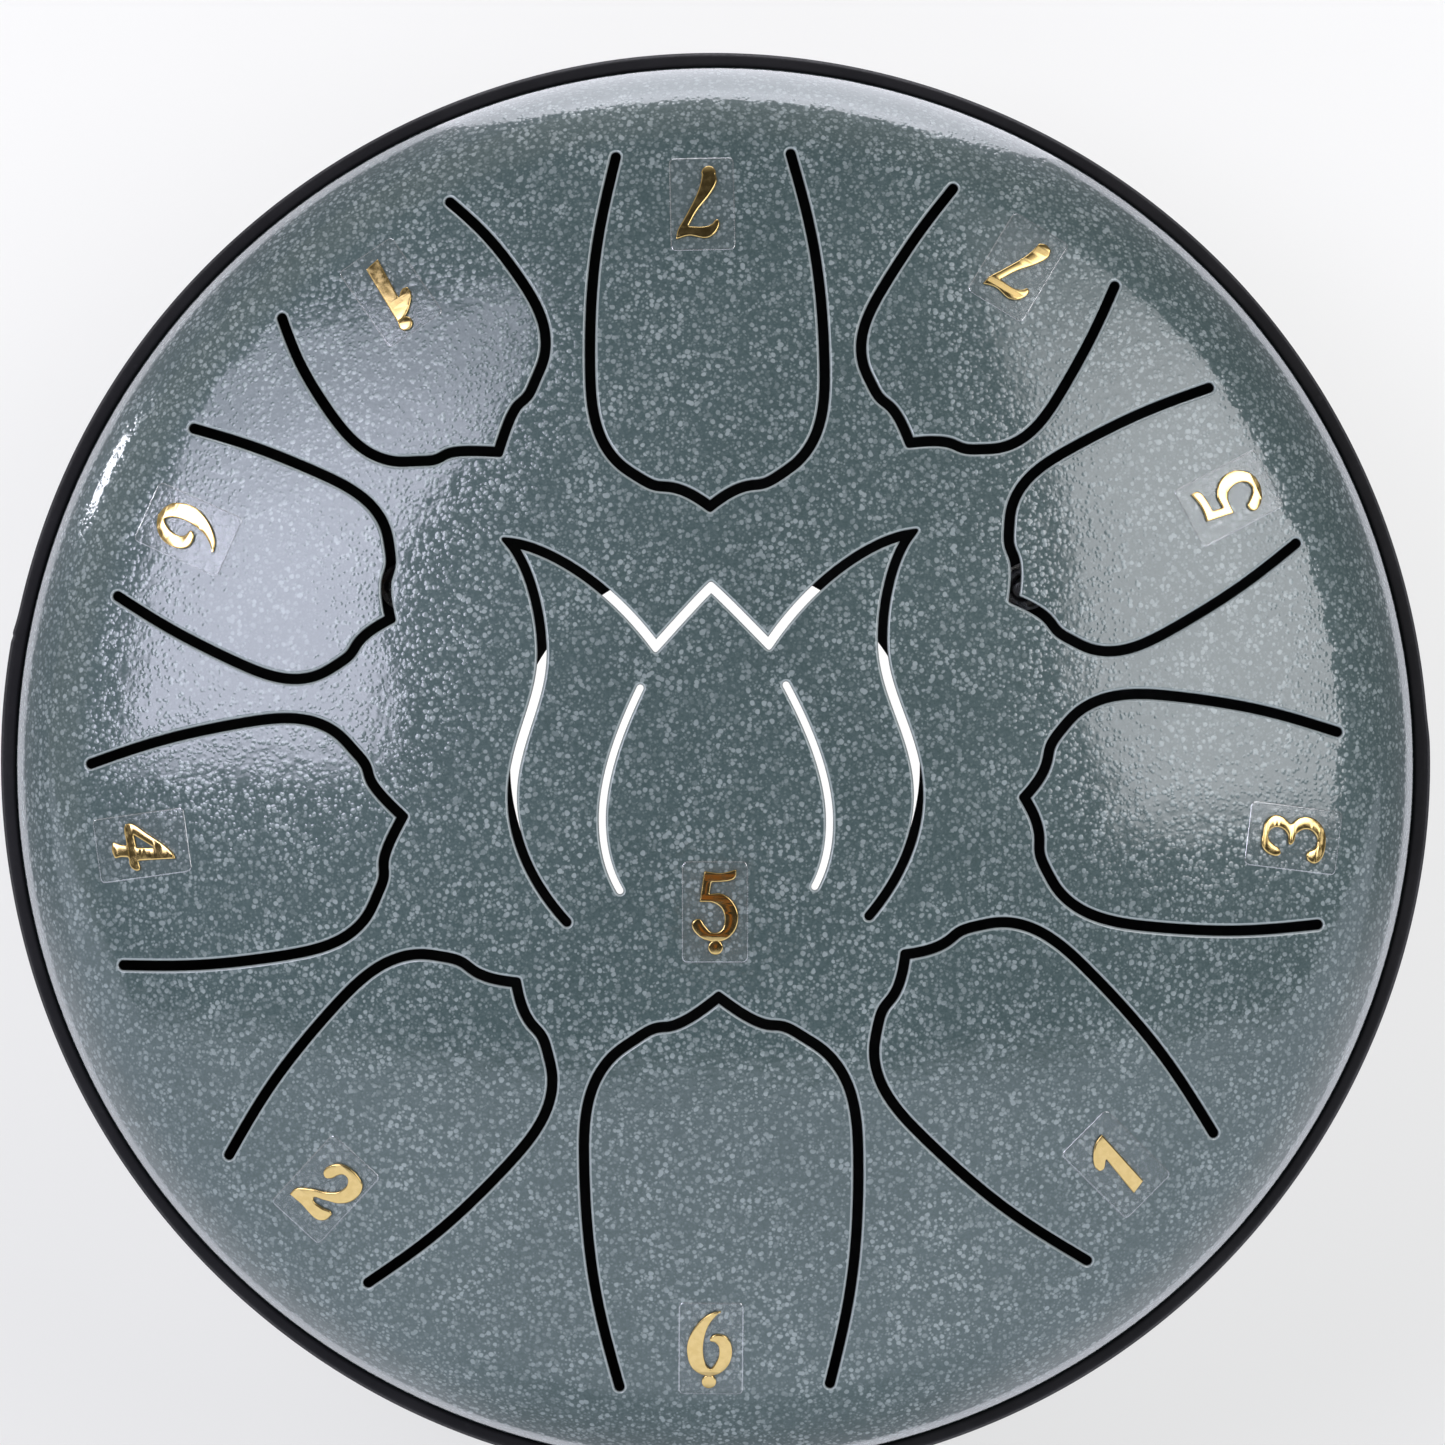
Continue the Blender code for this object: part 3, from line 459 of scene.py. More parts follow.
def tongue_half(length, wide, root, neck):
    """One side of a slot, from the point at (0, 0) along +X: an ogee neck that
    rounds into the shoulder and bows in to the root."""
    turn = (neck, 0.4 * wide)
    along = np.array((0.31, 1.0)) / math.hypot(0.31, 1.0)
    shoulder = (1.18 * wide, wide)
    side = length - shoulder[0]
    slope = np.array((1.0, -1.9 * (wide - root) / side))
    slope /= np.linalg.norm(slope)
    rise = 0.56 * wide * along
    end = (length, root)
    return chained(
        (
            ((0.0, 0.0), (1.17 * neck, 1.46 * neck), turn, turn, 5),
            (
                turn,
                (turn[0] + rise[0], turn[1] + rise[1]),
                (shoulder[0] - 0.45 * wide, wide),
                shoulder,
                7,
            ),
            (
                shoulder,
                (shoulder[0] + 0.48 * side, wide),
                (end[0] - 0.33 * side * slope[0], end[1] - 0.33 * side * slope[1]),
                end,
                5,
            ),
        )
    )


def through(points, per_span):
    """A natural cubic spline through the points."""
    points = np.asarray(points, float)
    gaps = np.linalg.norm(np.diff(points, axis=0), axis=1)
    n = len(points)
    system = np.eye(n)
    wanted = np.zeros((n, 2))
    for i in range(1, n - 1):
        system[i, i - 1 : i + 2] = gaps[i - 1], 2 * (gaps[i - 1] + gaps[i]), gaps[i]
        wanted[i] = 6 * (
            (points[i + 1] - points[i]) / gaps[i]
            - (points[i] - points[i - 1]) / gaps[i - 1]
        )
    bend = np.linalg.solve(system, wanted)
    found = [points[:1]]
    for i in range(n - 1):
        t = np.linspace(0, 1, per_span + 1)[1:, None]
        h = gaps[i]
        found.append(
            (1 - t) * points[i]
            + t * points[i + 1]
            + h * h / 6 * (((1 - t) ** 3 - (1 - t)) * bend[i] + (t**3 - t) * bend[i + 1])
        )
    return np.concatenate(found)


def eased(line, sigma, spacing=0.2):
    """The line resampled evenly and smoothed a little, its ends kept."""
    gaps = np.linalg.norm(np.diff(line, axis=0), axis=1)
    along = np.concatenate([[0], np.cumsum(gaps)])
    wanted = np.linspace(0, along[-1], round(along[-1] / spacing) + 1)
    even = np.stack([np.interp(wanted, along, line[:, k]) for k in (0, 1)], axis=1)
    reach = round(3.5 * sigma / spacing)
    before = 2 * even[0] - even[reach:0:-1]
    after = 2 * even[-1] - even[-2 : -reach - 2 : -1]
    padded = np.concatenate([before, even, after])
    weight = np.exp(-0.5 * (np.arange(-reach, reach + 1) * spacing / sigma) ** 2)
    weight /= weight.sum()
    return np.stack(
        [np.convolve(padded[:, k], weight, mode="valid") for k in (0, 1)], axis=1
    )


def offset(line, distance):
    """The line moved to its left by distance, mitred."""
    step = np.diff(line, axis=0)
    step /= np.linalg.norm(step, axis=1)[:, None]
    left = np.stack([-step[:, 1], step[:, 0]], axis=1)
    before = np.concatenate([left[:1], left])
    after = np.concatenate([left, left[-1:]])
    normal = before + after
    normal /= np.linalg.norm(normal, axis=1)[:, None]
    reach = distance / np.maximum(0.25, (normal * after).sum(axis=1))
    return line + reach[:, None] * normal


def from_axis(line, axis):
    """The line cut, or run on, to start where this coordinate is 0."""
    while len(line) > 2 and line[1, axis] <= 0:
        line = line[1:]
    t = -line[0, axis] / (line[1, axis] - line[0, axis])
    start = line[0] + t * (line[1] - line[0])
    return np.concatenate([start[None], line[1:]])


def joined(first, second):
    """Two offset lines brought to the corner where they cross or would meet."""
    for i in range(len(first) - 1, 0, -1):
        a, r = first[i - 1], first[i] - first[i - 1]
        c, s = second[:-1], np.diff(second, axis=0)
        cross = r[0] * s[:, 1] - r[1] * s[:, 0]
        cross = np.where(np.abs(cross) < 1e-9, np.nan, cross)
        t = ((c[:, 0] - a[0]) * s[:, 1] - (c[:, 1] - a[1]) * s[:, 0]) / cross
        u = ((c[:, 0] - a[0]) * r[1] - (c[:, 1] - a[1]) * r[0]) / cross
        hits = np.flatnonzero((t >= 0) & (t <= 1) & (u >= 0) & (u <= 1))
        if len(hits):
            j = hits[-1]
            corner = a + t[j] * r
            return np.concatenate([first[:i], corner[None], second[j + 1 :]])
    a, r = first[-2], first[-1] - first[-2]
    c, s = second[0], second[1] - second[0]
    cross = r[0] * s[1] - r[1] * s[0]
    t = ((c[0] - a[0]) * s[1] - (c[1] - a[1]) * s[0]) / cross
    corner = a + t * r
    return np.concatenate([first[:-1], corner[None], second[1:]])


LOTUS = (
    ((25.3, 0.0), (29.9, 5.2), (34.0, 12.5), (34.0, 20.5), 5),
    ((34.0, 20.5), (34.0, 30.0), (28.5, 36.8), (28.5, 45.5), 5),
    ((28.5, 45.5), (28.5, 52.3), (30.5, 60.0), (33.6, 63.8), 4),
)
LOTUS_CROWN = (
    ((33.6, 63.8), (28.2, 63.2), (17.7, 57.5), (9.45, 45.8), 5),
    ((9.45, 45.8), (7.0, 48.4), (2.6, 53.2), (0.0, 55.6), 3),
)
LOTUS_PETAL = (
    ((12.2, 38.9), (15.2, 33.0), (19.0, 24.5), (19.0, 16.5), 5),
    ((19.0, 16.5), (19.0, 12.3), (18.2, 8.5), (16.3, 5.1), 3),
)


def lotus_half(side):
    """One half of the lotus from its point to its root, moved out by side."""
    body = offset(chained(LOTUS, 6), -side)
    brow = offset(chained(LOTUS_CROWN[:1], 6), -side)
    peak = offset(chained(LOTUS_CROWN[1:], 6), -side)
    return from_axis(joined(joined(body, brow), peak)[::-1], 0)


def cap(start, end, out, count=8):
    """The rounded end of a slot, leaving out both of its own ends."""
    middle = (start + end) / 2
    arm = start - middle
    turn = np.array(out) / np.linalg.norm(out) * np.linalg.norm(arm)
    angle = np.linspace(0, math.pi, count + 1)[:, None]
    return middle + np.cos(angle) * arm + np.sin(angle) * turn


def slot_runs(outer, inner, out, flip):
    """The runs of one slot's edge from its halves, which go point to root."""
    mirror = np.ones(2)
    mirror[flip] = -1
    end = cap(outer[-1], inner[-1], out)
    return [
        (outer, "outer"),
        (end, "cap"),
        (inner[::-1], "inner"),
        (inner * mirror, "inner"),
        (end[::-1] * mirror, "cap"),
        ((outer * mirror)[::-1], "outer"),
    ]


def split_corners(line, degrees=21.0):
    step = np.diff(line, axis=0)
    angle = np.arctan2(step[:, 1], step[:, 0])
    turn = np.abs((np.diff(angle) + math.pi) % math.tau - math.pi)
    cuts = [0, *(np.flatnonzero(turn > math.radians(degrees)) + 1), len(line) - 1]
    return [line[a : b + 1] for a, b in zip(cuts[:-1], cuts[1:])]


def sampled(line, spacing, first, last):
    """Points along a line, with the first and last gaps as given, ends kept."""
    step = np.linalg.norm(np.diff(line, axis=0), axis=1)
    along = np.concatenate([[0], np.cumsum(step)])
    total = along[-1]
    if total <= first + last:
        wanted = [0, total]
    else:
        count = max(1, round((total - first - last) / spacing))
        wanted = [0, *np.linspace(first, total - last, count + 1), total]
    return np.stack([np.interp(wanted, along, line[:, k]) for k in (0, 1)], axis=1)


def part_of(line, first, last):
    """The line without these lengths at its ends."""
    gaps = np.linalg.norm(np.diff(line, axis=0), axis=1)
    along = np.concatenate([[0], np.cumsum(gaps)])
    keep = (along > first + 1e-3) & (along < along[-1] - last - 1e-3)
    wanted = np.concatenate([[first], along[keep], [along[-1] - last]])
    return np.stack([np.interp(wanted, along, line[:, k]) for k in (0, 1)], axis=1)


def eased_corners(pieces):
    """Rounds the corners of a hole, where there is metal all round them."""
    n = len(pieces)
    cuts = []
    for i, (here, _) in enumerate(pieces):
        before = pieces[i - 1][0]
        a, b = before[-1] - before[-2], here[1] - here[0]
        turn = math.atan2(a[0] * b[1] - a[1] * b[0], float(a @ b))
        wide = math.pi - turn
        cuts.append(0.42 / math.sin(wide / 2) if turn > math.radians(20) else 0.0)
    out = []
    for i, (here, kind) in enumerate(pieces):
        cut = cuts[i]
        if cut:
            start = part_of(pieces[i - 1][0], 0.0, cut)[-1]
            end = part_of(here, cut, 0.0)[0]
            t = np.linspace(0, 1, 8)[:, None]
            arc = (1 - t) ** 2 * start + 2 * t * (1 - t) * here[0] + t * t * end
            out.append((arc, kind, True))
        after = cuts[(i + 1) % n]
        if cut or after:
            here = part_of(here, cut, after)
        out.append((here, kind, kind == "cap"))
    return out


def edge_loop(runs, place, spacing, owner):
    """A slot's edge as (points, kinds), anticlockwise in plan, kinds per edge."""
    pieces = []
    for line, kind in runs:
        for part in split_corners(line) if kind != "cap" else [line]:
            pieces.append((place(part), kind))
    area = sum(
        float((p[:-1, 0] * p[1:, 1] - p[1:, 0] * p[:-1, 1]).sum()) for p, _ in pieces
    )
    if area < 0:
        pieces = [(p[::-1], kind) for p, kind in pieces[::-1]]
    pieces = eased_corners(pieces)
    gaps = []
    for i, (here, _, _) in enumerate(pieces):
        before = pieces[i - 1][0]
        a, b = before[-1] - before[-2], here[1] - here[0]
        turn = math.atan2(a[0] * b[1] - a[1] * b[0], float(a @ b))
        if turn < -math.radians(20):  # a corner of the metal
            gaps.append(FILLET / math.tan((math.pi + turn) / 2) + 0.18)
        else:
            gaps.append(spacing)
    points, kinds = [], []
    for i, (here, kind, ready) in enumerate(pieces):
        if ready:
            line = here
        else:
            line = sampled(here, spacing, gaps[i], gaps[(i + 1) % len(pieces)])
        points.append(line[:-1])
        kinds += [kind] * (len(line) - 1)
    return np.concatenate(points), kinds, owner


def round_loop(centre, radius, spacing, owner):
    count = max(24, round(math.tau * radius / spacing))
    angle = np.arange(count) * math.tau / count
    points = np.stack([np.cos(angle), np.sin(angle)], axis=1) * radius
    return points + np.array(centre), ["round"] * count, owner


def loop_normals(points):
    """At each point of an anticlockwise hole: (offset vector, unit normal)."""
    step = np.roll(points, -1, axis=0) - points
    step /= np.linalg.norm(step, axis=1)[:, None]
    right = np.stack([step[:, 1], -step[:, 0]], axis=1)
    before = np.roll(right, 1, axis=0)
    normal = before + right
    normal /= np.linalg.norm(normal, axis=1)[:, None]
    share = np.maximum(0.25, (normal * right).sum(axis=1))
    previous = np.roll(step, 1, axis=0)
    turn = previous[:, 0] * step[:, 1] - previous[:, 1] * step[:, 0]
    reach = np.where((turn > 0.34), 1.0, 1 / share)
    return normal * reach[:, None], normal


def inside(points, polygon):
    """Which points are inside the polygon."""
    found = np.zeros(len(points), bool)
    low, high = polygon.min(axis=0), polygon.max(axis=0)
    near = np.flatnonzero(((points > low) & (points < high)).all(axis=1))
    if not len(near):
        return found
    x, y = points[near, 0][:, None], points[near, 1][:, None]
    ax, ay = polygon[:, 0], polygon[:, 1]
    bx, by = np.roll(ax, -1), np.roll(ay, -1)
    crosses = (ay > y) != (by > y)
    with np.errstate(divide="ignore", invalid="ignore"):
        at = ax + (y - ay) * (bx - ax) / (by - ay)
    found[near] = (crosses & (x < at)).sum(axis=1) % 2 == 1
    return found


# ---------------------------------------------------------- pressed sheet mesh
def outer_profile():
    """The face from DISC_R over the shoulder, flange and back inside to DISC_R,
    as (radius, height, angle of the normal from straight up)."""
    _, top_slope = sheet_at(DISC_R, 0.0)
    _, low_slope = sheet_at(DISC_R, SHEET)
    rows = []

    def arc(cx, cz, radius, first, last, count, skip_first=False):
        for i in range(1 if skip_first else 0, count + 1):
            a = math.radians(first + (last - first) * i / count)
            rows.append((cx + radius * math.sin(a), cz + radius * math.cos(a), math.degrees(a)))

    def hollow(cx, cz, radius, first, last, count):
        """A concave arc: its normals point at its centre."""
        for i in range(count + 1):
            a = math.radians(first + (last - first) * i / count)
            rows.append((cx - radius * math.sin(a), cz - radius * math.cos(a), math.degrees(a)))

    arc(SHOULDER_X, SHOULDER_Z, SHOULDER_R, math.degrees(top_slope), WALL_DEG, 26)
    wall_x, wall_z, _ = rows[-1]
    lean = math.tan(math.radians(90 - WALL_DEG))
    flange_top = FLANGE_LOW + SHEET
    bend = 0.9
    # hollow bend between the wall and the flange
    cz = flange_top + bend
    foot_x = wall_x + (wall_z - (cz - bend * math.cos(math.radians(WALL_DEG)))) * lean
    cx = foot_x + bend * math.sin(math.radians(WALL_DEG))
    for i in range(1, 4):
        z = wall_z + (cz - wall_z) * i / 4
        rows.append((wall_x + (wall_z - z) * lean, z, WALL_DEG))
    hollow(cx, cz, bend, WALL_DEG, 0.0, 6)
    edge = 0.35
    rows.append(((cx + FLANGE_R) / 2, flange_top, 0.0))
    arc(FLANGE_R - edge, flange_top - edge, edge, 0.0, 90.0, 4)
    arc(FLANGE_R - edge, FLANGE_LOW + edge, edge, 90.0, 180.0, 4)
    # inner face: the wall's inside runs back up to the shoulder
    inner_wall = []
    top_x = SHOULDER_X + (SHOULDER_R - SHEET) * math.sin(math.radians(WALL_DEG))
    top_z = SHOULDER_Z + (SHOULDER_R - SHEET) * math.cos(math.radians(WALL_DEG))
    turn = 0.5
    low_x = top_x + (top_z - FLANGE_LOW - turn) * lean
    rows.append(((low_x + turn + FLANGE_R - edge) / 2, FLANGE_LOW, 180.0))
    arc(low_x + turn, FLANGE_LOW + turn, turn, 180.0, 180.0 + WALL_DEG, 4)
    for i in range(1, 4):
        z = FLANGE_LOW + turn + (top_z - FLANGE_LOW - turn) * i / 4
        inner_wall.append((top_x + (top_z - z) * lean, z, 180.0 + WALL_DEG))
    rows.extend(inner_wall)
    first, last = WALL_DEG, math.degrees(low_slope)
    for i in range(0, 21):
        a = math.radians(first + (last - first) * i / 20)
        rows.append(
            (
                SHOULDER_X + (SHOULDER_R - SHEET) * math.sin(a),
                SHOULDER_Z + (SHOULDER_R - SHEET) * math.cos(a),
                180.0 + math.degrees(a),
            )
        )
    return rows


def pressed_sheet(loops, seams, pitch, flipped):
    """Meshes of a pressed shell and of the tongues cut in it.

    loops are hole edges, seams join two corners of a loop's edge where a tongue
    leaves the shell. Returns {owner: (vertices, faces, normals, material indices)}.
    """
    plan, loop_data, constraints = [], [], []
    count = 0
    for points, kinds, owner in loops:
        reach, normal = loop_normals(points)
        ids = np.arange(count, count + len(points))
        plan.append(points + FILLET * reach)
        constraints += list(zip(ids.tolist(), np.roll(ids, -1).tolist()))
        loop_data.append((points, kinds, owner, reach, normal, ids))
        count += len(points)
    angle = np.arange(AROUND) * math.tau / AROUND
    rim_ids = np.arange(count, count + AROUND)
    plan.append(np.stack([np.cos(angle), np.sin(angle)], axis=1) * DISC_R)
    constraints += list(zip(rim_ids.tolist(), np.roll(rim_ids, -1).tolist()))
    count += AROUND

    seam_lines = {}
    for owner, which in seams:
        points, kinds, _, reach, normal, ids = loop_data[which]
        turns = [
            i
            for i in range(len(points))
            if {kinds[i - 1], kinds[i]} == {"inner", "cap"}
        ]
        a, b = turns
        start, end = points[a] + FILLET * reach[a], points[b] + FILLET * reach[b]
        steps = max(2, round(float(np.linalg.norm(end - start)) / 1.5))
        share = np.linspace(0, 1, steps + 1)[1:-1, None]
        plan.append(start + share * (end - start))
        middle = list(range(count, count + steps - 1))
        count += steps - 1
        line = [int(ids[a]), *middle, int(ids[b])]
        constraints += list(zip(line[:-1], line[1:]))
        seam_lines[owner] = (line, which, a, b)
    fixed = np.concatenate(plan)

    tree = kdtree.KDTree(len(fixed))
    for i, (x, y) in enumerate(fixed):
        tree.insert((x, y, 0.0), i)
    tree.balance()
    rows = int(DISC_R / (pitch * 0.866)) + 2
    grid = []
    holes = [p for p, *_ in loops]
    for j in range(-rows, rows + 1):
        y = j * pitch * 0.8660254
        shift = 0.5 * pitch * (j % 2)
        for i in range(-rows, rows + 1):
            x = i * pitch + shift
            if x * x + y * y > (DISC_R - 0.6 * pitch) ** 2:
                continue
            if tree.find((x, y, 0.0))[2] > 0.42 * pitch + 0.25:
                grid.append((x, y))
    grid = np.array(grid)
    for polygon in holes:
        grid = grid[~inside(grid, polygon)]
    flat = np.concatenate([fixed, grid])

    result = geometry.delaunay_2d_cdt(
        [Vector(p) for p in flat.tolist()], constraints, [], 0, 1e-5, True
    )
    made, _, triangles, origin = result[0], result[1], result[2], result[3]
    back = [ids[0] if ids else -1 for ids in origin]
    if min(back) < 0:
        raise RuntimeError("two edges of the slots cross")
    triangles = np.array([[back[i] for i in t] for t in triangles if len(t) == 3])
    triangles = triangles[
        (triangles[:, 0] != triangles[:, 1])
        & (triangles[:, 1] != triangles[:, 2])
        & (triangles[:, 0] != triangles[:, 2])
    ]
    a, b, c = (flat[triangles[:, k]] for k in range(3))
    area = (b[:, 0] - a[:, 0]) * (c[:, 1] - a[:, 1]) - (b[:, 1] - a[:, 1]) * (
        c[:, 0] - a[:, 0]
    )
    triangles[area < 0] = triangles[area < 0][:, ::-1]
    triangles = triangles[np.abs(area) > 1e-7]
    middle = flat[triangles].mean(axis=1)

    owners = np.zeros(len(triangles), int)
    names = ["shell"]
    for points, kinds, owner, reach, normal, ids in loop_data:
        owners[inside(middle, flat[ids])] = -1
    for owner, (line, which, a, b) in seam_lines.items():
        points, kinds, _, reach, normal, ids = loop_data[which]
        n = len(points)
        if kinds[a] == "inner":
            order = [(a + k) % n for k in range((b - a) % n + 1)]
        else:
            order = [(b + k) % n for k in range((a - b) % n + 1)]
        polygon = flat[ids[order]]
        names.append(owner)
        owners[inside(middle, polygon) & (owners == 0)] = len(names) - 1

    # Vertices: the top face, the fillet rings, the underside, the turned edge.
    xs, zs, normals = [], [], []

    def add(points, heights, directions):
        start = sum(len(x) for x in xs)
        xs.append(points)
        zs.append(heights)
        normals.append(directions)
        return np.arange(start, start + len(points))

    def facing(points, depth, sign=1.0):
        radius = np.maximum(1e-9, np.hypot(points[:, 0], points[:, 1]))
        height, slope = sheet_at(radius, depth)
        out = points / radius[:, None]
        direction = np.concatenate(
            [out * np.sin(slope)[:, None], np.cos(slope)[:, None]], axis=1
        )
        return height, sign * direction

    height, direction = facing(flat, 0.0)
    top = add(flat, height, direction)
    under_plan = flat.copy()
    for points, kinds, owner, reach, normal, ids in loop_data:
        under_plan[ids] = points
    height, direction = facing(under_plan, SHEET, -1.0)
    under = add(under_plan, height, direction)
    wall_normals = np.zeros((len(flat), 3))
    rings = []
    for points, kinds, owner, reach, normal, ids in loop_data:
        wall_normals[ids, :2] = -normal
        ring = []
        for k in range(RINGS):
            angle = math.pi / 2 * k / RINGS
            where = points + FILLET * (1 - math.cos(angle)) * reach
            height, direction = facing(where, 0.0)
            direction = direction * math.sin(angle)
            direction[:, :2] -= normal * math.cos(angle)
            direction /= np.linalg.norm(direction, axis=1)[:, None]
            ring.append(add(where, height - FILLET * (1 - math.sin(angle)), direction))
        ring.append(top[ids])
        rings.append(ring)

    faces = {name: [] for name in names}
    looks = {name: [] for name in names}
    kinds_of = {name: [] for name in names}

    def put(name, face, look, group):
        faces[name].append(face)
        looks[name].append(look)
        kinds_of[name].append(group)

    for t, owner in zip(triangles.tolist(), owners.tolist()):
        if owner < 0:
            continue
        put(names[owner], tuple(top[i] for i in t), 0, 0)
        put(names[owner], tuple(under[i] for i in t[::-1]), 1, 2)
    for ring, (points, kinds, owner, reach, normal, ids) in zip(rings, loop_data):
        n = len(points)
        for i in range(n):
            j = (i + 1) % n
            holder = owner if kinds[i] in ("inner", "petal") else "shell"
            if kinds[i] == "round":
                holder = owner
            for k in range(RINGS):
                put(
                    holder,
                    (ring[k][i], ring[k + 1][i], ring[k + 1][j], ring[k][j]),
                    0,
                    0,
                )
            low_i, low_j = under[ids[i]], under[ids[j]]
            put(holder, (ring[0][i], ring[0][j], low_j, low_i), 1, 1)

    # Walls where a tongue leaves the shell keep both of them closed.
    for owner, (line, which, a, b) in seam_lines.items():
        ring = rings[which]
        ids = loop_data[which][5]
        strips = [
            (top[p], top[q], under[q], under[p]) for p, q in zip(line[:-1], line[1:])
        ]
        strips.append((under[ids[a]], *(ring[k][a] for k in range(RINGS + 1))))
        strips.append((under[ids[b]], *(ring[k][b] for k in range(RINGS, -1, -1))))
        start, end = flat[line[0]], flat[line[-1]]
        flow = end - start
        # the first strip's normal, top to bottom and start to end
        normal = np.array([-flow[1], flow[0]])
        tip = flat[loop_data[which][5]].mean(axis=0)
        away = (start + end) / 2 - tip
        outward = normal @ away > 0
        for strip in strips:
            put(owner, strip if outward else strip[::-1], 1, 3)
            put("shell", strip[::-1] if outward else strip, 1, 3)

    # The turned edge.
    rows = outer_profile()
    ring_ids = [top[rim_ids]]
    directions = np.stack([np.cos(angle_all), np.sin(angle_all)], axis=1)
    for radius, height, degrees in rows[1:-1]:
        lean = math.radians(degrees)
        direction = np.concatenate(
            [directions * math.sin(lean), np.full((AROUND, 1), math.cos(lean))], axis=1
        )
        ring_ids.append(add(directions * radius, np.full(AROUND, height), direction))
    ring_ids.append(under[rim_ids])
    flange = next(i for i, row in enumerate(rows) if row[2] >= 179.9)
    for r in range(len(ring_ids) - 1):
        for i in range(AROUND):
            j = (i + 1) % AROUND
            put(
                "shell",
                (ring_ids[r][i], ring_ids[r + 1][i], ring_ids[r + 1][j], ring_ids[r][j]),
                0 if r < flange else 1,
                0 if r < len(ring_ids) - 2 else 4,
            )

    points = np.concatenate(
        [np.concatenate(xs), np.concatenate(zs)[:, None]], axis=1
    )
    directions = np.concatenate(normals)
    walls = np.zeros_like(directions)
    walls[under[: len(flat)]] = wall_normals
    for ring, (loop_points, kinds, owner, reach, normal, ids) in zip(rings, loop_data):
        walls[ring[0], :2] = -normal
    # share of the painted highlight on each fillet ring; the paint colours these rings paler
    rolled = np.zeros(len(points))
    for ring in rings:
        for k, share in enumerate((0.55, 0.9, 1.0, 0.9, 0.3)):
            rolled[ring[k]] = share
    mirror = -1.0 if flipped else 1.0
    points[:, 2] *= mirror
    points[:, 2] += JOINT_Z
    directions[:, 2] *= mirror
    made = {}
    for name in names:
        used = np.unique(np.concatenate([np.array(f) for f in faces[name]]))
        where = np.full(len(points), -1)
        where[used] = np.arange(len(used))
        out_faces, corner_normals = [], []
        for face, group in zip(faces[name], kinds_of[name]):
            face = face[::-1] if flipped else face
            out_faces.append([int(where[i]) for i in face])
            if group == 1:
                corner_normals.extend(walls[i] for i in face)
            elif group == 3:
                corner_normals.extend([np.zeros(3)] * len(face))
            else:
                corner_normals.extend(directions[i] for i in face)
        made[name] = (
            points[used] * MM,
            out_faces,
            corner_normals,
            looks[name],
            rolled[used],
        )
    return made


angle_all = np.arange(AROUND) * math.tau / AROUND


def mesh_object(
    name, points, faces, materials, looks=None, corner_normals=None, rolled=None
):
    mesh = bpy.data.meshes.new(name)
    mesh.from_pydata([tuple(p) for p in points], [], faces)
    if rolled is not None:
        layer = mesh.attributes.new("rolled", "FLOAT", "POINT")
        layer.data.foreach_set("value", np.array(rolled, np.float32))
    for material in materials:
        mesh.materials.append(material)
    if looks is not None:
        mesh.polygons.foreach_set("material_index", np.array(looks, np.int32))
    mesh.shade_smooth()
    mesh.update()
    if corner_normals is not None:
        mesh.normals_split_custom_set([tuple(float(x) for x in n) for n in corner_normals])
    obj = bpy.data.objects.new(name, mesh)
    bpy.context.scene.collection.objects.link(obj)
    return obj


def in_plan(bearing, tip):
    a = math.radians(bearing)
    turn = np.array([[math.cos(a), math.sin(a)], [-math.sin(a), math.cos(a)]])
    return lambda line: (line + np.array([tip, 0.0])) @ turn


def in_lotus(line):
    a = math.radians(LOTUS_BEARING)
    across = np.array([math.sin(a), -math.cos(a)])
    along = np.array([math.cos(a), math.sin(a)])
    return (
        np.array(LOTUS_ROOT) + line[:, :1] * across[None] + line[:, 1:] * along[None]
    )


loops, seams = [], []
for name, bearing, tip, length, wide, root, neck, *_ in TONGUES:
    half = eased(through(tongue_half(length, wide, root, neck), 8), 0.75)
    outer = from_axis(offset(half, SLOT / 2), 1)
    inner = from_axis(offset(half, -SLOT / 2), 1)
    heading = half[-1] - half[-2]
    seams.append((name, len(loops)))
    loops.append(
        edge_loop(
            slot_runs(outer, inner, heading, 1), in_plan(bearing, tip), 0.8, name
        )
    )
body = chained(LOTUS, 6)
seams.append(("low_5", len(loops)))
loops.append(
    edge_loop(
        slot_runs(
            lotus_half(LOTUS_SLOT / 2),
            lotus_half(-LOTUS_SLOT / 2),
            body[0] - body[1],
            0,
        ),
        in_lotus,
        0.8,
        "low_5",
    )
)
petal = chained(LOTUS_PETAL, 6)
for mirror in (1, -1):
    left, right = offset(petal, PETAL_SLOT / 2), offset(petal, -PETAL_SLOT / 2)
    runs = [
        (left, "petal"),
        (cap(left[-1], right[-1], petal[-1] - petal[-2]), "cap"),
        (right[::-1], "petal"),
        (cap(right[0], left[0], petal[0] - petal[1]), "cap"),
    ]
    flip = np.array([mirror, 1.0])
    points, kinds, owner = edge_loop(
        [(line * flip, kind) for line, kind in runs], in_lotus, 0.7, "low_5"
    )
    loops.append((points, ["petal"] * len(points), owner))

pressed = pressed_sheet(loops, seams, 2.6, False)
shells = {}
for name, made in pressed.items():
    points, faces, corner_normals, looks, rolled = made
    title = "top_shell" if name == "shell" else f"tongue_{name}"
    shells[title] = mesh_object(
        "v_" + title, points, faces, (PAINT, INNER), looks, corner_normals, rolled
    )

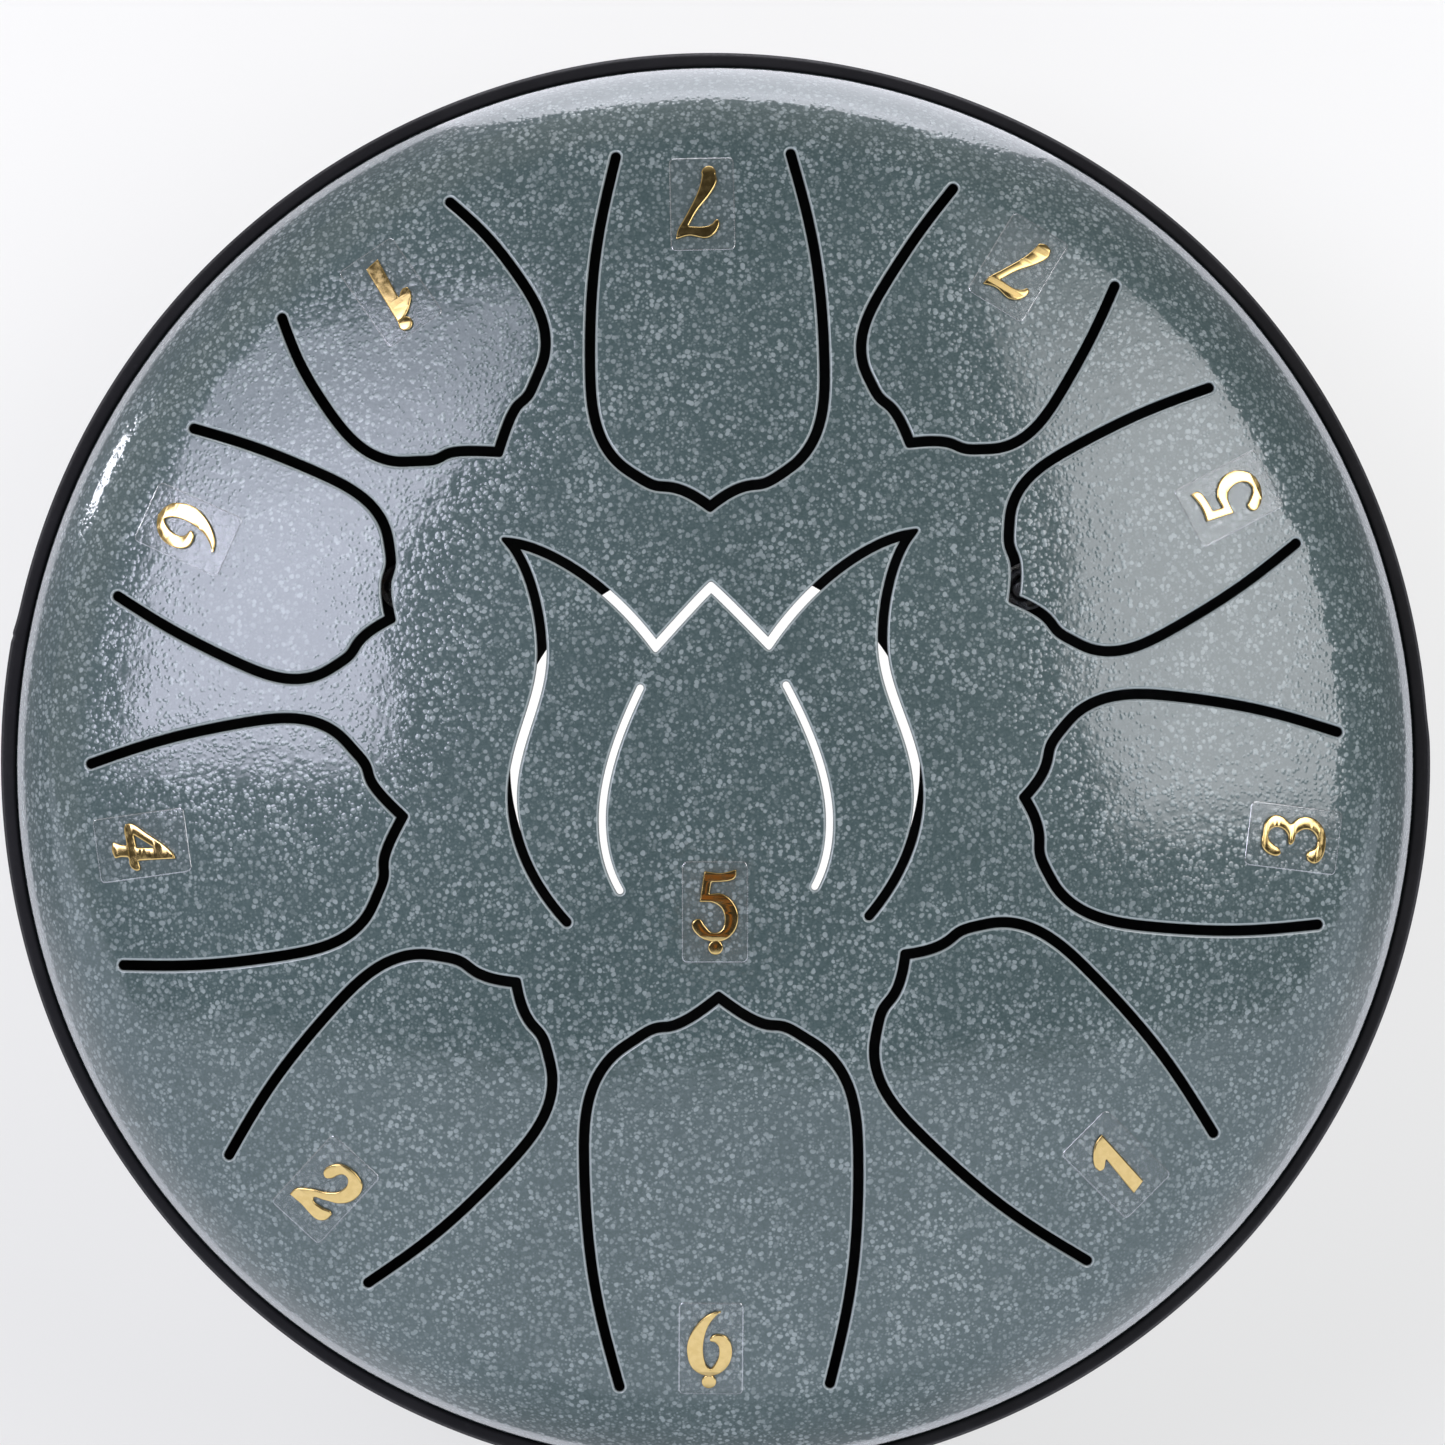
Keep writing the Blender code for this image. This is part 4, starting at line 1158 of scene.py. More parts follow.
foot_slope = math.asin(FOOT_CIRCLE / CROWN_R)
low_loops = [round_loop((0.0, 0.0), HOLE_R, 0.9, "shell")]
for bearing in FOOT_BEARINGS:
    a = math.radians(bearing)
    low_loops.append(
        round_loop(
            (FOOT_CIRCLE * math.cos(a), FOOT_CIRCLE * math.sin(a)), BORE_R, 0.5, "shell"
        )
    )
pressed = pressed_sheet(low_loops, [], 3.4, True)
points, faces, corner_normals, looks, rolled = pressed["shell"]
shells["bottom_shell"] = mesh_object(
    "v_bottom_shell", points, faces, (PAINT, INNER), looks, corner_normals, rolled
)


# --------------------------------------------------------------- turned pieces
def turned(name, profile, material, count, matrix=None, closed=True, bulge=None):
    """A solid of revolution about Z from (radius, height) in mm, anticlockwise
    profile in the (radius, height) plane. Points on the axis make caps."""
    points, rows = [], []
    for radius, height in profile:
        if radius < 1e-6:
            rows.append([len(points)] * count)
            points.append((0.0, 0.0, height))
            continue
        row = []
        for i in range(count):
            a = math.tau * i / count
            grow = bulge(math.degrees(a), radius, height) if bulge else 0.0
            row.append(len(points))
            points.append(
                ((radius + grow) * math.cos(a), (radius + grow) * math.sin(a), height)
            )
        rows.append(row)
    faces = []
    pairs = list(zip(rows, rows[1:] + rows[:1] if closed else rows[1:]))
    for low, high in pairs:
        for i in range(count):
            j = (i + 1) % count
            face = []
            for v in (low[i], low[j], high[j], high[i]):
                if v not in face:
                    face.append(v)
            if len(face) > 2:
                faces.append(face)
    obj = mesh_object(name, np.array(points) * MM, faces, (material,))
    if matrix is not None:
        obj.data.transform(matrix)
    return obj


def rounded_corners(points, closed=True):
    """(x, y, radius, steps) corners to a line with each of them rounded."""
    out = []
    n = len(points)
    for i, (x, y, radius, steps) in enumerate(points):
        here = np.array((x, y))
        if radius <= 0 or (not closed and i in (0, n - 1)):
            out.append((x, y))
            continue
        a = np.array(points[i - 1][:2]) - here
        b = np.array(points[(i + 1) % n][:2]) - here
        la, lb = np.linalg.norm(a), np.linalg.norm(b)
        a, b = a / la, b / lb
        half = math.acos(max(-1.0, min(1.0, float(a @ b)))) / 2
        cut = min(radius / math.tan(half), 0.49 * la, 0.49 * lb)
        radius = cut * math.tan(half)
        centre = here + (a + b) / np.linalg.norm(a + b) * radius / math.sin(half)
        start, end = here + a * cut, here + b * cut
        first = math.atan2(*(start - centre)[::-1])
        last = math.atan2(*(end - centre)[::-1])
        sweep = (last - first + math.pi) % math.tau - math.pi
        for k in range(steps + 1):
            t = first + sweep * k / steps
            out.append((centre[0] + radius * math.cos(t), centre[1] + radius * math.sin(t)))
    return out


def soft_sharp(obj, degrees=40.0):
    obj.data.set_sharp_from_angle(angle=math.radians(degrees))


# Rim: a channel of rubber stretched over both flanges, joined at one place.
JOIN_AT = 169.6
SECOND_AT = 1.8


def rim_bulge(degrees, radius, height):
    """Small unevenness of the stretched strip, mostly on its outer face."""
    face = min(1.0, max(0.0, (radius - 124.8) / 2.2))
    grow = 0.0
    for at, size, before, after in (
        (JOIN_AT, 0.34, 1.2, 17.0),
        (SECOND_AT, 0.26, 16.0, 1.6),
    ):
        away = (degrees - at + 180) % 360 - 180
        reach = after if away > 0 else before
        grow += size * math.exp(-((away / reach) ** 2))
    wave = 0.07 * math.sin(math.radians(3 * degrees + 40)) + 0.05 * math.sin(
        math.radians(7 * degrees + 130)
    )
    notch = (degrees - JOIN_AT + 180) % 360 - 180
    grow -= 0.34 * math.exp(-((notch / 0.13) ** 2))
    return (grow + wave - 0.42) * face


rim_corners = [
    (LIP_R, RIM_HALF, 0.55, 5),
    (LIP_R, GROOVE_HALF, 0.2, 3),
    (GROOVE_R, GROOVE_HALF, 0.15, 3),
    (GROOVE_R, -GROOVE_HALF, 0.15, 3),
    (LIP_R, -GROOVE_HALF, 0.2, 3),
    (LIP_R, -RIM_HALF, 0.55, 5),
    (RIM_R - 0.9, -RIM_HALF, 0.9, 6),
    (RIM_R, -RIM_HALF + 2.4, 2.2, 6),
    (RIM_R, RIM_HALF - 2.4, 2.2, 6),
    (RIM_R - 0.9, RIM_HALF, 0.9, 6),
]
rim_line = rounded_corners(rim_corners)


def split_long(line, most):
    out = []
    for i, a in enumerate(line):
        b = line[(i + 1) % len(line)]
        out.append(a)
        length = math.hypot(b[0] - a[0], b[1] - a[1])
        for k in range(1, int(length / most) + 1):
            t = k / (int(length / most) + 1)
            out.append((a[0] + t * (b[0] - a[0]), a[1] + t * (b[1] - a[1])))
    return out


rim = turned(
    "v_rim_ring",
    split_long(rim_line, 0.8),
    RUBBER,
    1440,
    Matrix.Translation((0, 0, JOINT_Z * MM)),
    bulge=rim_bulge,
)
soft_sharp(rim, 50)

# ------------------------------------------------------------------ numerals
NUMERALS = {
    "1": (
        [(1.9, 5.9, 1), (0.3, 5.7), (-1.5, 4.5), (-2.8, 2.8), (-2.9, 1.5, 1)]
        + [(-2.0, 1.2), (-0.6, 2.2, 1), (-1.4, -5.9, 1), (1.3, -5.5, 1)],
    ),
    "2": (
        [(-4.4, -5.3, 1), (-4.2, -3.6), (-2.2, -1.8), (0.0, -0.4), (1.4, 1.1)]
        + [(1.8, 2.8), (1.2, 4.0), (0.2, 4.1), (-0.5, 3.2), (-0.9, 2.1)]
        + [(-1.9, 1.4), (-2.8, 2.3), (-2.4, 4.1), (-1.0, 5.4), (1.4, 5.8)]
        + [(3.5, 5.2), (4.4, 3.6), (4.2, 1.4), (2.9, -0.4), (0.6, -1.8)]
        + [(-0.9, -2.9), (1.2, -3.1), (2.7, -2.5), (3.3, -2.8, 1)]
        + [(3.1, -4.4), (1.7, -5.4), (-1.7, -5.2)],
    ),
    "3": (
        [(-3.4, 3.0), (-3.1, 4.6), (-1.9, 5.8), (0.2, 5.9), (2.0, 5.7)]
        + [(3.4, 4.4), (3.4, 2.7), (2.3, 0.9, 1), (3.5, -0.4), (3.9, -2.2)]
        + [(3.1, -4.3), (1.3, -5.6), (-1.2, -5.9), (-3.0, -5.4), (-3.9, -4.2)]
        + [(-3.4, -2.9), (-2.2, -2.7), (-1.3, -4.0), (0.2, -4.3), (1.4, -3.3)]
        + [(1.7, -1.8), (0.8, -0.3), (-0.8, 0.1), (-1.2, 0.8), (0.4, 1.3)]
        + [(1.3, 2.4), (1.4, 3.9), (0.5, 4.8), (-0.7, 4.6), (-1.5, 3.6)]
        + [(-2.1, 2.5), (-2.9, 2.2)],
    ),
    "4": (
        [(3.0, 6.0, 1), (1.9, 5.6), (0.3, 4.1), (-2.0, 1.3), (-3.8, -0.9)]
        + [(-4.0, -2.1), (-3.2, -2.7), (-0.4, -2.6, 1), (-0.7, -3.8)]
        + [(-1.3, -5.1, 1), (0.1, -5.5), (1.6, -5.1, 1), (1.5, -3.8)]
        + [(1.7, -2.6, 1), (3.2, -2.5), (4.1, -1.6), (4.0, -0.8)]
        + [(2.5, -0.9, 1), (2.7, 2.2)],
        [(0.6, 2.3, 1), (0.2, -0.9, 1), (-2.0, -1.1, 1)],
    ),
    "5": (
        [(3.6, 6.1, 1), (3.4, 4.7), (2.2, 4.1), (-0.6, 3.9, 1), (-0.9, 2.0, 1)]
        + [(1.2, 2.0), (3.0, 0.7), (3.9, -1.7), (3.2, -4.4), (1.0, -6.0)]
        + [(-1.7, -5.7), (-3.5, -4.3), (-3.8, -2.8), (-2.6, -2.2)]
        + [(-1.6, -3.4), (-0.4, -4.5), (1.0, -4.1), (1.6, -2.4), (1.1, -0.5)]
        + [(-0.4, 0.5), (-2.6, 0.6, 1), (-2.2, 3.2), (-1.8, 5.8, 1), (1.0, 5.5)],
    ),
    "6": (
        [(2.0, 6.1, 1), (0.2, 5.7), (-1.6, 4.3), (-3.0, 2.3), (-3.8, 0.1)]
        + [(-3.8, -2.2), (-3.1, -4.3), (-1.8, -5.5), (-0.1, -6.1, 1)]
        + [(1.8, -5.4), (3.2, -3.9), (3.8, -1.9), (3.6, 0.1), (2.8, 1.4)]
        + [(1.4, 1.8), (0.3, 1.4), (0.0, 0.6), (0.8, 0.3), (1.5, -0.5)]
        + [(1.5, -2.4), (0.8, -3.9), (0.1, -4.7, 1), (-0.7, -3.6)]
        + [(-1.1, -1.7), (-1.0, 0.7), (-0.3, 3.2), (0.8, 4.9)],
    ),
    "7": (
        [(3.7, 6.1, 1), (1.4, 5.5), (-1.4, 6.0), (-3.0, 5.1), (-3.8, 3.3)]
        + [(-3.3, 2.6), (-2.5, 3.4), (-1.2, 3.9), (1.5, 3.8, 1), (0.0, 1.0)]
        + [(-2.4, -2.2), (-3.5, -4.4), (-3.3, -5.7, 1), (-2.0, -6.1)]
        + [(-0.9, -5.6, 1), (-0.7, -4.3), (0.1, -1.9), (2.0, 1.9), (3.4, 4.5)],
    ),
}
DOTS = {"1": (0.9, 6.8), "5": (0.1, -7.0), "6": (-0.1, -7.0), "7": (-2.1, -6.0)}
SHIFTS = {
    "low_6": (-0.2, 1.0),
    "low_5": (0.0, 1.1),
    "low_7": (0.9, 0.4),
    "high_1": (0.0, -0.4),
    "2": (0.4, 0.3),
}
BEVEL = 0.24
NUMERAL_BASE = 0.16
CORNER_CUT = 0.22


def rounded(points, count):
    """A smooth closed line through the points, whose corners are small arcs."""
    around = []
    total = len(points)
    for i, here in enumerate(points):
        after = points[(i + 1) % total]
        before, beyond = points[i - 1], points[(i + 2) % total]
        a, b = np.array(here[:2]), np.array(after[:2])
        start = (b - np.array(before[:2])) / 2 if len(here) == 2 else b - a
        end = (np.array(beyond[:2]) - a) / 2 if len(after) == 2 else b - a
        span = np.linalg.norm(b - a)
        around.append((a, len(here) == 3))
        start = start / np.linalg.norm(start) * span
        end = end / np.linalg.norm(end) * span
        steps = max(2, min(count, round(span / 0.3)))
        for p in bezier(a, a + start / 3, b - end / 3, b, steps)[:-1]:
            around.append((p, False))
    # each corner is cut back and rounded
    line = []
    n = len(around)
    for i, (p, sharp) in enumerate(around):
        if not sharp:
            near = [
                q for q in (around[i - 1], around[(i + 1) % n]) if q[1]
                and np.linalg.norm(q[0] - p) < 1.25 * CORNER_CUT
            ]
            if not near:
                line.append(tuple(p))
            continue
        back, ahead = around[i - 1][0] - p, around[(i + 1) % n][0] - p
        back, ahead = back / np.linalg.norm(back), ahead / np.linalg.norm(ahead)
        a, b = p + back * CORNER_CUT, p + ahead * CORNER_CUT
        for t in (0.0, 0.33, 0.67, 1.0):
            line.append(tuple((1 - t) ** 2 * a + 2 * t * (1 - t) * p + t * t * b))
    return line


def moulded(name, outlines):
    """A flat shape in mm with a rounded upper edge, its foot at Z = 0."""
    curve = bpy.data.curves.new(name, "CURVE")
    curve.dimensions = "2D"
    curve.fill_mode = "BOTH"
    curve.extrude = 0.01
    curve.bevel_depth = BEVEL
    curve.bevel_resolution = 3
    curve.offset = -BEVEL
    for outline in outlines:
        spline = curve.splines.new("POLY")
        spline.points.add(len(outline) - 1)
        for point, (x, y) in zip(spline.points, outline):
            point.co = (x, y, 0.0, 1.0)
        spline.use_cyclic_u = True
    obj = bpy.data.objects.new(name, curve)
    bpy.context.scene.collection.objects.link(obj)
    bpy.context.view_layer.update()
    graph = bpy.context.evaluated_depsgraph_get()
    mesh = bpy.data.meshes.new_from_object(obj.evaluated_get(graph))
    bpy.data.objects.remove(obj, do_unlink=True)
    work = bmesh.new()
    work.from_mesh(mesh)
    bmesh.ops.remove_doubles(work, verts=work.verts, dist=1e-4)
    for vert in work.verts:
        vert.co.z = vert.co.z if vert.co.z > 0 else -NUMERAL_BASE
    bmesh.ops.remove_doubles(work, verts=work.verts, dist=1e-4)
    bmesh.ops.recalc_face_normals(work, faces=work.faces)
    for vert in work.verts:
        vert.co.z += NUMERAL_BASE
    work.to_mesh(mesh)
    work.free()
    return mesh


numeral_meshes = {}


def numeral_mesh(digit, dot):
    key = (digit, dot)
    if key in numeral_meshes:
        return numeral_meshes[key]
    mesh = moulded(f"digit_{digit}", [rounded(line, 9) for line in NUMERALS[digit]])
    if dot:
        cx, cy = DOTS[digit]
        ring = [
            (cx + DOT_R * math.cos(math.tau * k / 40), cy + DOT_R * math.sin(math.tau * k / 40))
            for k in range(40)
        ]
        spot = bpy.data.objects.new("spot", moulded("spot", [ring]))
        whole = bpy.data.objects.new("whole", mesh)
        for obj in (spot, whole):
            bpy.context.scene.collection.objects.link(obj)
        join = whole.modifiers.new("join", "BOOLEAN")
        join.operation = "UNION"
        join.solver = "EXACT"
        join.object = spot
        bpy.context.view_layer.update()
        graph = bpy.context.evaluated_depsgraph_get()
        mesh = bpy.data.meshes.new_from_object(whole.evaluated_get(graph))
        for obj in (spot, whole):
            bpy.data.objects.remove(obj, do_unlink=True)
    numeral_meshes[key] = mesh
    return mesh


def on_crown(radius, bearing):
    """Frame on the crown in mm: +Z out of the sheet, +Y up its slope."""
    slope = math.asin(radius / CROWN_R)
    a = math.radians(bearing)
    out = Vector((math.cos(a), math.sin(a), 0.0))
    up = Vector((0.0, 0.0, 1.0))
    z = out * math.sin(slope) + up * math.cos(slope)
    y = up * math.sin(slope) - out * math.cos(slope)
    x = y.cross(z)
    matrix = Matrix((x, y, z)).transposed().to_4x4()
    height = JOINT_Z + float(sheet_at(radius, 0.0)[0])
    matrix.translation = out * radius + up * height
    return matrix


def laid(points, matrix):
    """Points in a frame on the crown, bent so that they follow its surface."""
    out = []
    for x, y, z in points:
        where = matrix @ Vector((x, y, 0.0))
        radius = math.hypot(where.x, where.y)
        height, slope = sheet_at(radius, 0.0)
        slope = float(slope)
        flat = Vector((where.x, where.y, 0.0)) / max(radius, 1e-9)
        normal = flat * math.sin(slope) + Vector((0, 0, math.cos(slope)))
        base = Vector((where.x, where.y, JOINT_Z + float(height)))
        out.append((base + normal * z) * MM)
    return out


def film_piece(name, matrix):
    """A thin clear label, rounded at its corners, lying on the crown."""
    wide, high, thick = FILM
    corners = [
        (sx * wide / 2, sy * high / 2, FILM_CORNER, 6)
        for sx, sy in ((1, 1), (-1, 1), (-1, -1), (1, -1))
    ]
    rows = []
    for inset, z in (
        (0.0, FILM_LIFT),
        (0.0, FILM_LIFT + thick - 0.11),
        (0.09, FILM_LIFT + thick - 0.03),
        (0.22, FILM_LIFT + thick),
    ):
        rows.append(
            [
                (x, y, z)
                for x, y in split_long(
                    rounded_corners(
                        [
                            (x - math.copysign(inset, x), y - math.copysign(inset, y), r - inset, s)
                            for x, y, r, s in corners
                        ]
                    ),
                    1.0,
                )
            ]
        )
    n = len(rows[0])
    if any(len(row) != n for row in rows):
        raise RuntimeError("the film's rows differ")
    points = [p for row in rows for p in row]
    faces, looks = [], []
    for k in range(3):
        for i in range(n):
            j = (i + 1) % n
            faces.append((k * n + i, k * n + j, (k + 1) * n + j, (k + 1) * n + i))
            looks.append(1)
    grid = []
    nx, ny = 8, 13
    for i in range(1, nx):
        for j in range(1, ny):
            grid.append((wide * (i / nx - 0.5) * 0.98, high * (j / ny - 0.5) * 0.98))
    for upper in (True, False):
        edge = rows[3] if upper else rows[0]
        z = edge[0][2]
        flat = [Vector(p[:2]) for p in edge] + [Vector(p) for p in grid]
        made = geometry.delaunay_2d_cdt(
            flat, [(i, (i + 1) % n) for i in range(n)], [], 1, 1e-5, True
        )
        start = len(points)
        points += [(x, y, z) for x, y in grid]
        base = 3 * n if upper else 0
        for face in made[2]:
            ids = [made[3][i][0] for i in face]
            ids = [base + i if i < n else start + i - n for i in ids]
            a, b, c = (points[i] for i in ids[:3])
            turn = (b[0] - a[0]) * (c[1] - a[1]) - (b[1] - a[1]) * (c[0] - a[0])
            if (turn > 0) != upper:
                ids.reverse()
            faces.append(ids)
            looks.append(0)
    obj = mesh_object(
        f"v_film_{name}", laid(points, matrix), faces, (FILM_FACE, FILM_EDGE), looks
    )
    soft_sharp(obj, 35)
    return obj


def numeral_piece(name, digit, dot, matrix):
    right, up = SHIFTS.get(name, (0.0, 0.0))
    mesh = numeral_mesh(digit, dot).copy()
    points = [
        (v.co.x + right, v.co.y + up, v.co.z + FILM_LIFT + FILM[2] + 0.005)
        for v in mesh.vertices
    ]
    for vert, where in zip(mesh.vertices, laid(points, matrix)):
        vert.co = where
    mesh.materials.clear()
    mesh.materials.append(GOLD)
    mesh.shade_smooth()
    mesh.set_sharp_from_angle(angle=math.radians(50))
    obj = bpy.data.objects.new(f"v_numeral_{name}", mesh)
    bpy.context.scene.collection.objects.link(obj)
    weigh = obj.modifiers.new("weigh", "WEIGHTED_NORMAL")
    weigh.keep_sharp = True
    return obj


labels = {}
for name, *_, digit, dot, radius, bearing in TONGUES:
    matrix = on_crown(radius, bearing)
    labels[name] = (film_piece(name, matrix), numeral_piece(name, digit, dot, matrix))
matrix = on_crown(-LOTUS_NUMERAL_Y, -90.0)
labels["low_5"] = (film_piece("low_5", matrix), numeral_piece("low_5", "5", -1, matrix))


# ---------------------------------------------------------------- feet
foot_z = JOINT_Z - float(sheet_at(FOOT_CIRCLE, 0.0)[0])


def foot_frame(bearing):
    """Frame on the lower shell in mm: +Z along the normal into the drum."""
    a = math.radians(bearing)
    matrix = Matrix.Rotation(a, 4, "Z") @ Matrix.Rotation(-foot_slope, 4, "Y")
    out = Vector((math.cos(a), math.sin(a), 0.0))
    matrix.translation = out * FOOT_CIRCLE + Vector((0.0, 0.0, foot_z))
    return matrix


def to_metres(matrix):
    """The frame for points that are already in metres."""
    made = matrix.copy()
    made.translation = matrix.translation * MM
    return made


def foot_piece(name, matrix, count=72):
    """A moulded foot whose top is tilted to the shell and whose base is level."""
    reach = foot_z / math.cos(foot_slope)  # along the normal to the floor
    floor = -reach
    outline = rounded_corners(
        [
            (BORE_R, -GAP, 0.25, 3),
            (FOOT_TOP_R, -GAP, 1.1, 6),
            (FOOT_TOP_R - 0.25, -3.0, 0.6, 4),
            (FOOT_BASE_R, floor + 1.2, 1.5, 4),
            (FOOT_BASE_R, floor, 0.8, 6),
            (COUNTERBORE_R + 1.6, floor, 0.3, 3),
            (COUNTERBORE_R + 1.2, floor + 0.5, 0.3, 3),
            (COUNTERBORE_R + 0.5, floor + 0.5, 0.4, 3),
            (COUNTERBORE_R, floor + 1.0, 0.4, 3),
            (COUNTERBORE_R, -COUNTERBORE_FLOOR, 0.3, 3),
            (BORE_R, -COUNTERBORE_FLOOR, 0.25, 3),
        ]
    )
    points, faces = [], []
    rows = len(outline)
    for radius, height in outline:
        first = -GAP if radius > COUNTERBORE_R + 0.45 else -COUNTERBORE_FLOOR
        share = min(1.0, max(0.0, (height - first) / (floor - first)))
        tilt = foot_slope * share  # turns the ring level at the floor
        for i in range(count):
            a = math.tau * i / count
            x, y = radius * math.cos(a), radius * math.sin(a)
            # turned about the foot's own Y, round its centre line
            points.append(
                (x * math.cos(tilt), y, height - x * math.sin(tilt))
            )
    for r in range(rows):
        q = (r + 1) % rows
        for i in range(count):
            j = (i + 1) % count
            faces.append((r * count + i, q * count + i, q * count + j, r * count + j))
    placed = [(matrix @ Vector(p)) * MM for p in points]
    obj = mesh_object(name, placed, faces, (RUBBER,))
    soft_sharp(obj, 45)
    return obj


def socket_screw(name, matrix):
    """A pan-head screw with a hexagon socket and a coarse thread."""
    top = -COUNTERBORE_FLOOR - GAP
    end = 8.0
    outline = rounded_corners(
        [
            (0.0, end, 0, 0),
            (SCREW_R - 0.55, end, 0.1, 2),
            (SCREW_R - 0.08, end - 0.5, 0.1, 2),
            (SCREW_R - 0.08, top, 0.12, 2),
            (SCREW_HEAD_R, top, 0.15, 3),
            (SCREW_HEAD_R, top - 1.1, 0.4, 4),
            (SCREW_HEAD_R - 1.0, top - SCREW_HEAD, 0.5, 5),
            (1.9, top - SCREW_HEAD, 0, 0),
            (0.0, top - SCREW_HEAD, 0, 0),
        ],
        closed=False,
    )
    # thread: fine vee ridges round the shank
    shank = []
    for a, b in zip(outline[:-1], outline[1:]):
        shank.append(a)
        if abs(a[0] - b[0]) < 1e-6 and a[1] - b[1] > 6.0:
            z = a[1] - 0.1
            while z - 0.7 > 1.2:
                for step, radius in ((0.0, -0.32), (0.35, 0.08), (0.7, -0.32)):
                    if step < 0.7 or z - 1.4 <= 1.2:
                        shank.append((SCREW_R - 0.08 + radius, z - step))
                z -= 0.7
    shank.append(outline[-1])
    obj = turned(name, shank[::-1], STEEL, 48, closed=False)
    socket = [
        (1.45 * math.cos(math.tau * k / 6), 1.45 * math.sin(math.tau * k / 6))
        for k in range(6)
    ]
    low, high = top - SCREW_HEAD - 1.0, top - SCREW_HEAD + 1.5
    points = [(x * MM, y * MM, z * MM) for z in (low, high) for x, y in socket]
    sides = [(i, (i + 1) % 6, 6 + (i + 1) % 6, 6 + i) for i in range(6)]
    cutter = mesh_object(
        "socket", points, sides + [(5, 4, 3, 2, 1, 0), (6, 7, 8, 9, 10, 11)], (STEEL,)
    )
    cut = obj.modifiers.new("cut", "BOOLEAN")
    cut.operation = "DIFFERENCE"
    cut.solver = "EXACT"
    cut.object = cutter
    bpy.context.view_layer.update()
    graph = bpy.context.evaluated_depsgraph_get()
    mesh = bpy.data.meshes.new_from_object(obj.evaluated_get(graph))
    obj.modifiers.clear()
    obj.data = mesh
    bpy.data.objects.remove(cutter, do_unlink=True)
    obj.data.transform(to_metres(matrix))
    obj.data.shade_smooth()
    soft_sharp(obj, 30)
    return obj


def washer_piece(name, matrix):
    low = SHEET + GAP
    outline = rounded_corners(
        [
            (SCREW_R + GAP, low + WASHER, 0.08, 2),
            (SCREW_R + GAP, low, 0.08, 2),
            (WASHER_R, low, 0.15, 3),
            (WASHER_R, low + WASHER, 0.2, 3),
        ]
    )
    obj = turned(name, outline, STEEL, 64, to_metres(matrix))
    soft_sharp(obj, 30)
    return obj


def nut_piece(name, matrix, count=96):
    """A hexagon nut with its corners turned off at both faces."""
    low = SHEET + GAP + WASHER + GAP
    high = low + NUT
    flat = NUT_FLATS / 2
    corner = flat / math.cos(math.pi / 6)
    bore = SCREW_R + GAP
    levels = (
        (bore, low + 0.35),
        (bore + 0.35, low),
        (flat - 0.15, low),
        (None, low + 0.42),
        (None, high - 0.42),
        (flat - 0.15, high),
        (bore + 0.35, high),
        (bore, high - 0.35),
    )
    points, faces = [], []
    for radius, height in levels:
        for i in range(count):
            a = math.tau * i / count
            away = (a + math.pi / 6) % (math.pi / 3) - math.pi / 6
            hexed = flat / math.cos(away)
            r = radius
            z = height
            if radius is None:
                r = hexed
                drop = (hexed - flat) / (corner - flat)
                z = height + (0.45 * drop if height < (low + high) / 2 else -0.45 * drop) - (
                    0.42 if height < (low + high) / 2 else -0.42
                ) * (1 - drop)
            points.append((r * math.cos(a) * MM, r * math.sin(a) * MM, z * MM))
    rows = len(levels)
    for r in range(rows):
        q = (r + 1) % rows
        for i in range(count):
            j = (i + 1) % count
            faces.append((r * count + i, r * count + j, q * count + j, q * count + i))
    obj = mesh_object(name, points, faces, (STEEL,))
    obj.data.transform(to_metres(matrix))
    soft_sharp(obj, 25)
    return obj


foot_pieces = []
for number, bearing in enumerate(FOOT_BEARINGS, 1):
    matrix = foot_frame(bearing)
    foot_pieces += [
        (foot_piece(f"v_foot_{number}", matrix), f"foot_{number}", "rubber"),
        (socket_screw(f"v_foot_screw_{number}", matrix), f"foot_screw_{number}", "zinc_steel"),
        (washer_piece(f"v_foot_washer_{number}", matrix), f"foot_washer_{number}", "zinc_steel"),
        (nut_piece(f"v_foot_nut_{number}", matrix), f"foot_nut_{number}", "zinc_steel"),
    ]


def outward(obj):
    """Turns every face of a closed mesh out."""
    work = bmesh.new()
    work.from_mesh(obj.data)
    bmesh.ops.recalc_face_normals(work, faces=work.faces)
    if work.calc_volume(signed=True) < 0:
        bmesh.ops.reverse_faces(work, faces=work.faces)
    work.to_mesh(obj.data)
    work.free()


for obj, _, _ in foot_pieces:
    outward(obj)
outward(rim)
for film, numeral in labels.values():
    outward(film)
    outward(numeral)

# ------------------------------------------------------------ riding the frame
for title in ("top_shell", "bottom_shell"):
    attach(shells[title], "drum")
    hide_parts(title)
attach(rim, "drum")
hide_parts("rim_ring")
for obj, node, slot in foot_pieces:
    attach(obj, "drum")
    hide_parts(node)


def flex_ends(name):
    """Two points on a tongue's centre line at the crown's top level, in metres: a millimetre beyond
    its root, and halfway from its root to its point.
    """
    if name == "low_5":
        x, y = LOTUS_ROOT
        a = math.radians(LOTUS_BEARING)
        along, reach = Vector((math.cos(a), math.sin(a))), 55.6
    else:
        tongue = next(t for t in TONGUES if t[0] == name)
        a = math.radians(tongue[1])
        radius = tongue[2] + tongue[3]
        x, y = radius * math.cos(a), radius * math.sin(a)
        along, reach = Vector((-math.cos(a), -math.sin(a))), tongue[3]
    root = Vector((x, y))
    # the seam stands a little inside the line through the slots' ends
    start, end = root - 1.0 * along, root + 0.5 * reach * along
    level = (JOINT_Z + HALF_HEIGHT) * MM
    return (start.x * MM, start.y * MM, level), (end.x * MM, end.y * MM, level)


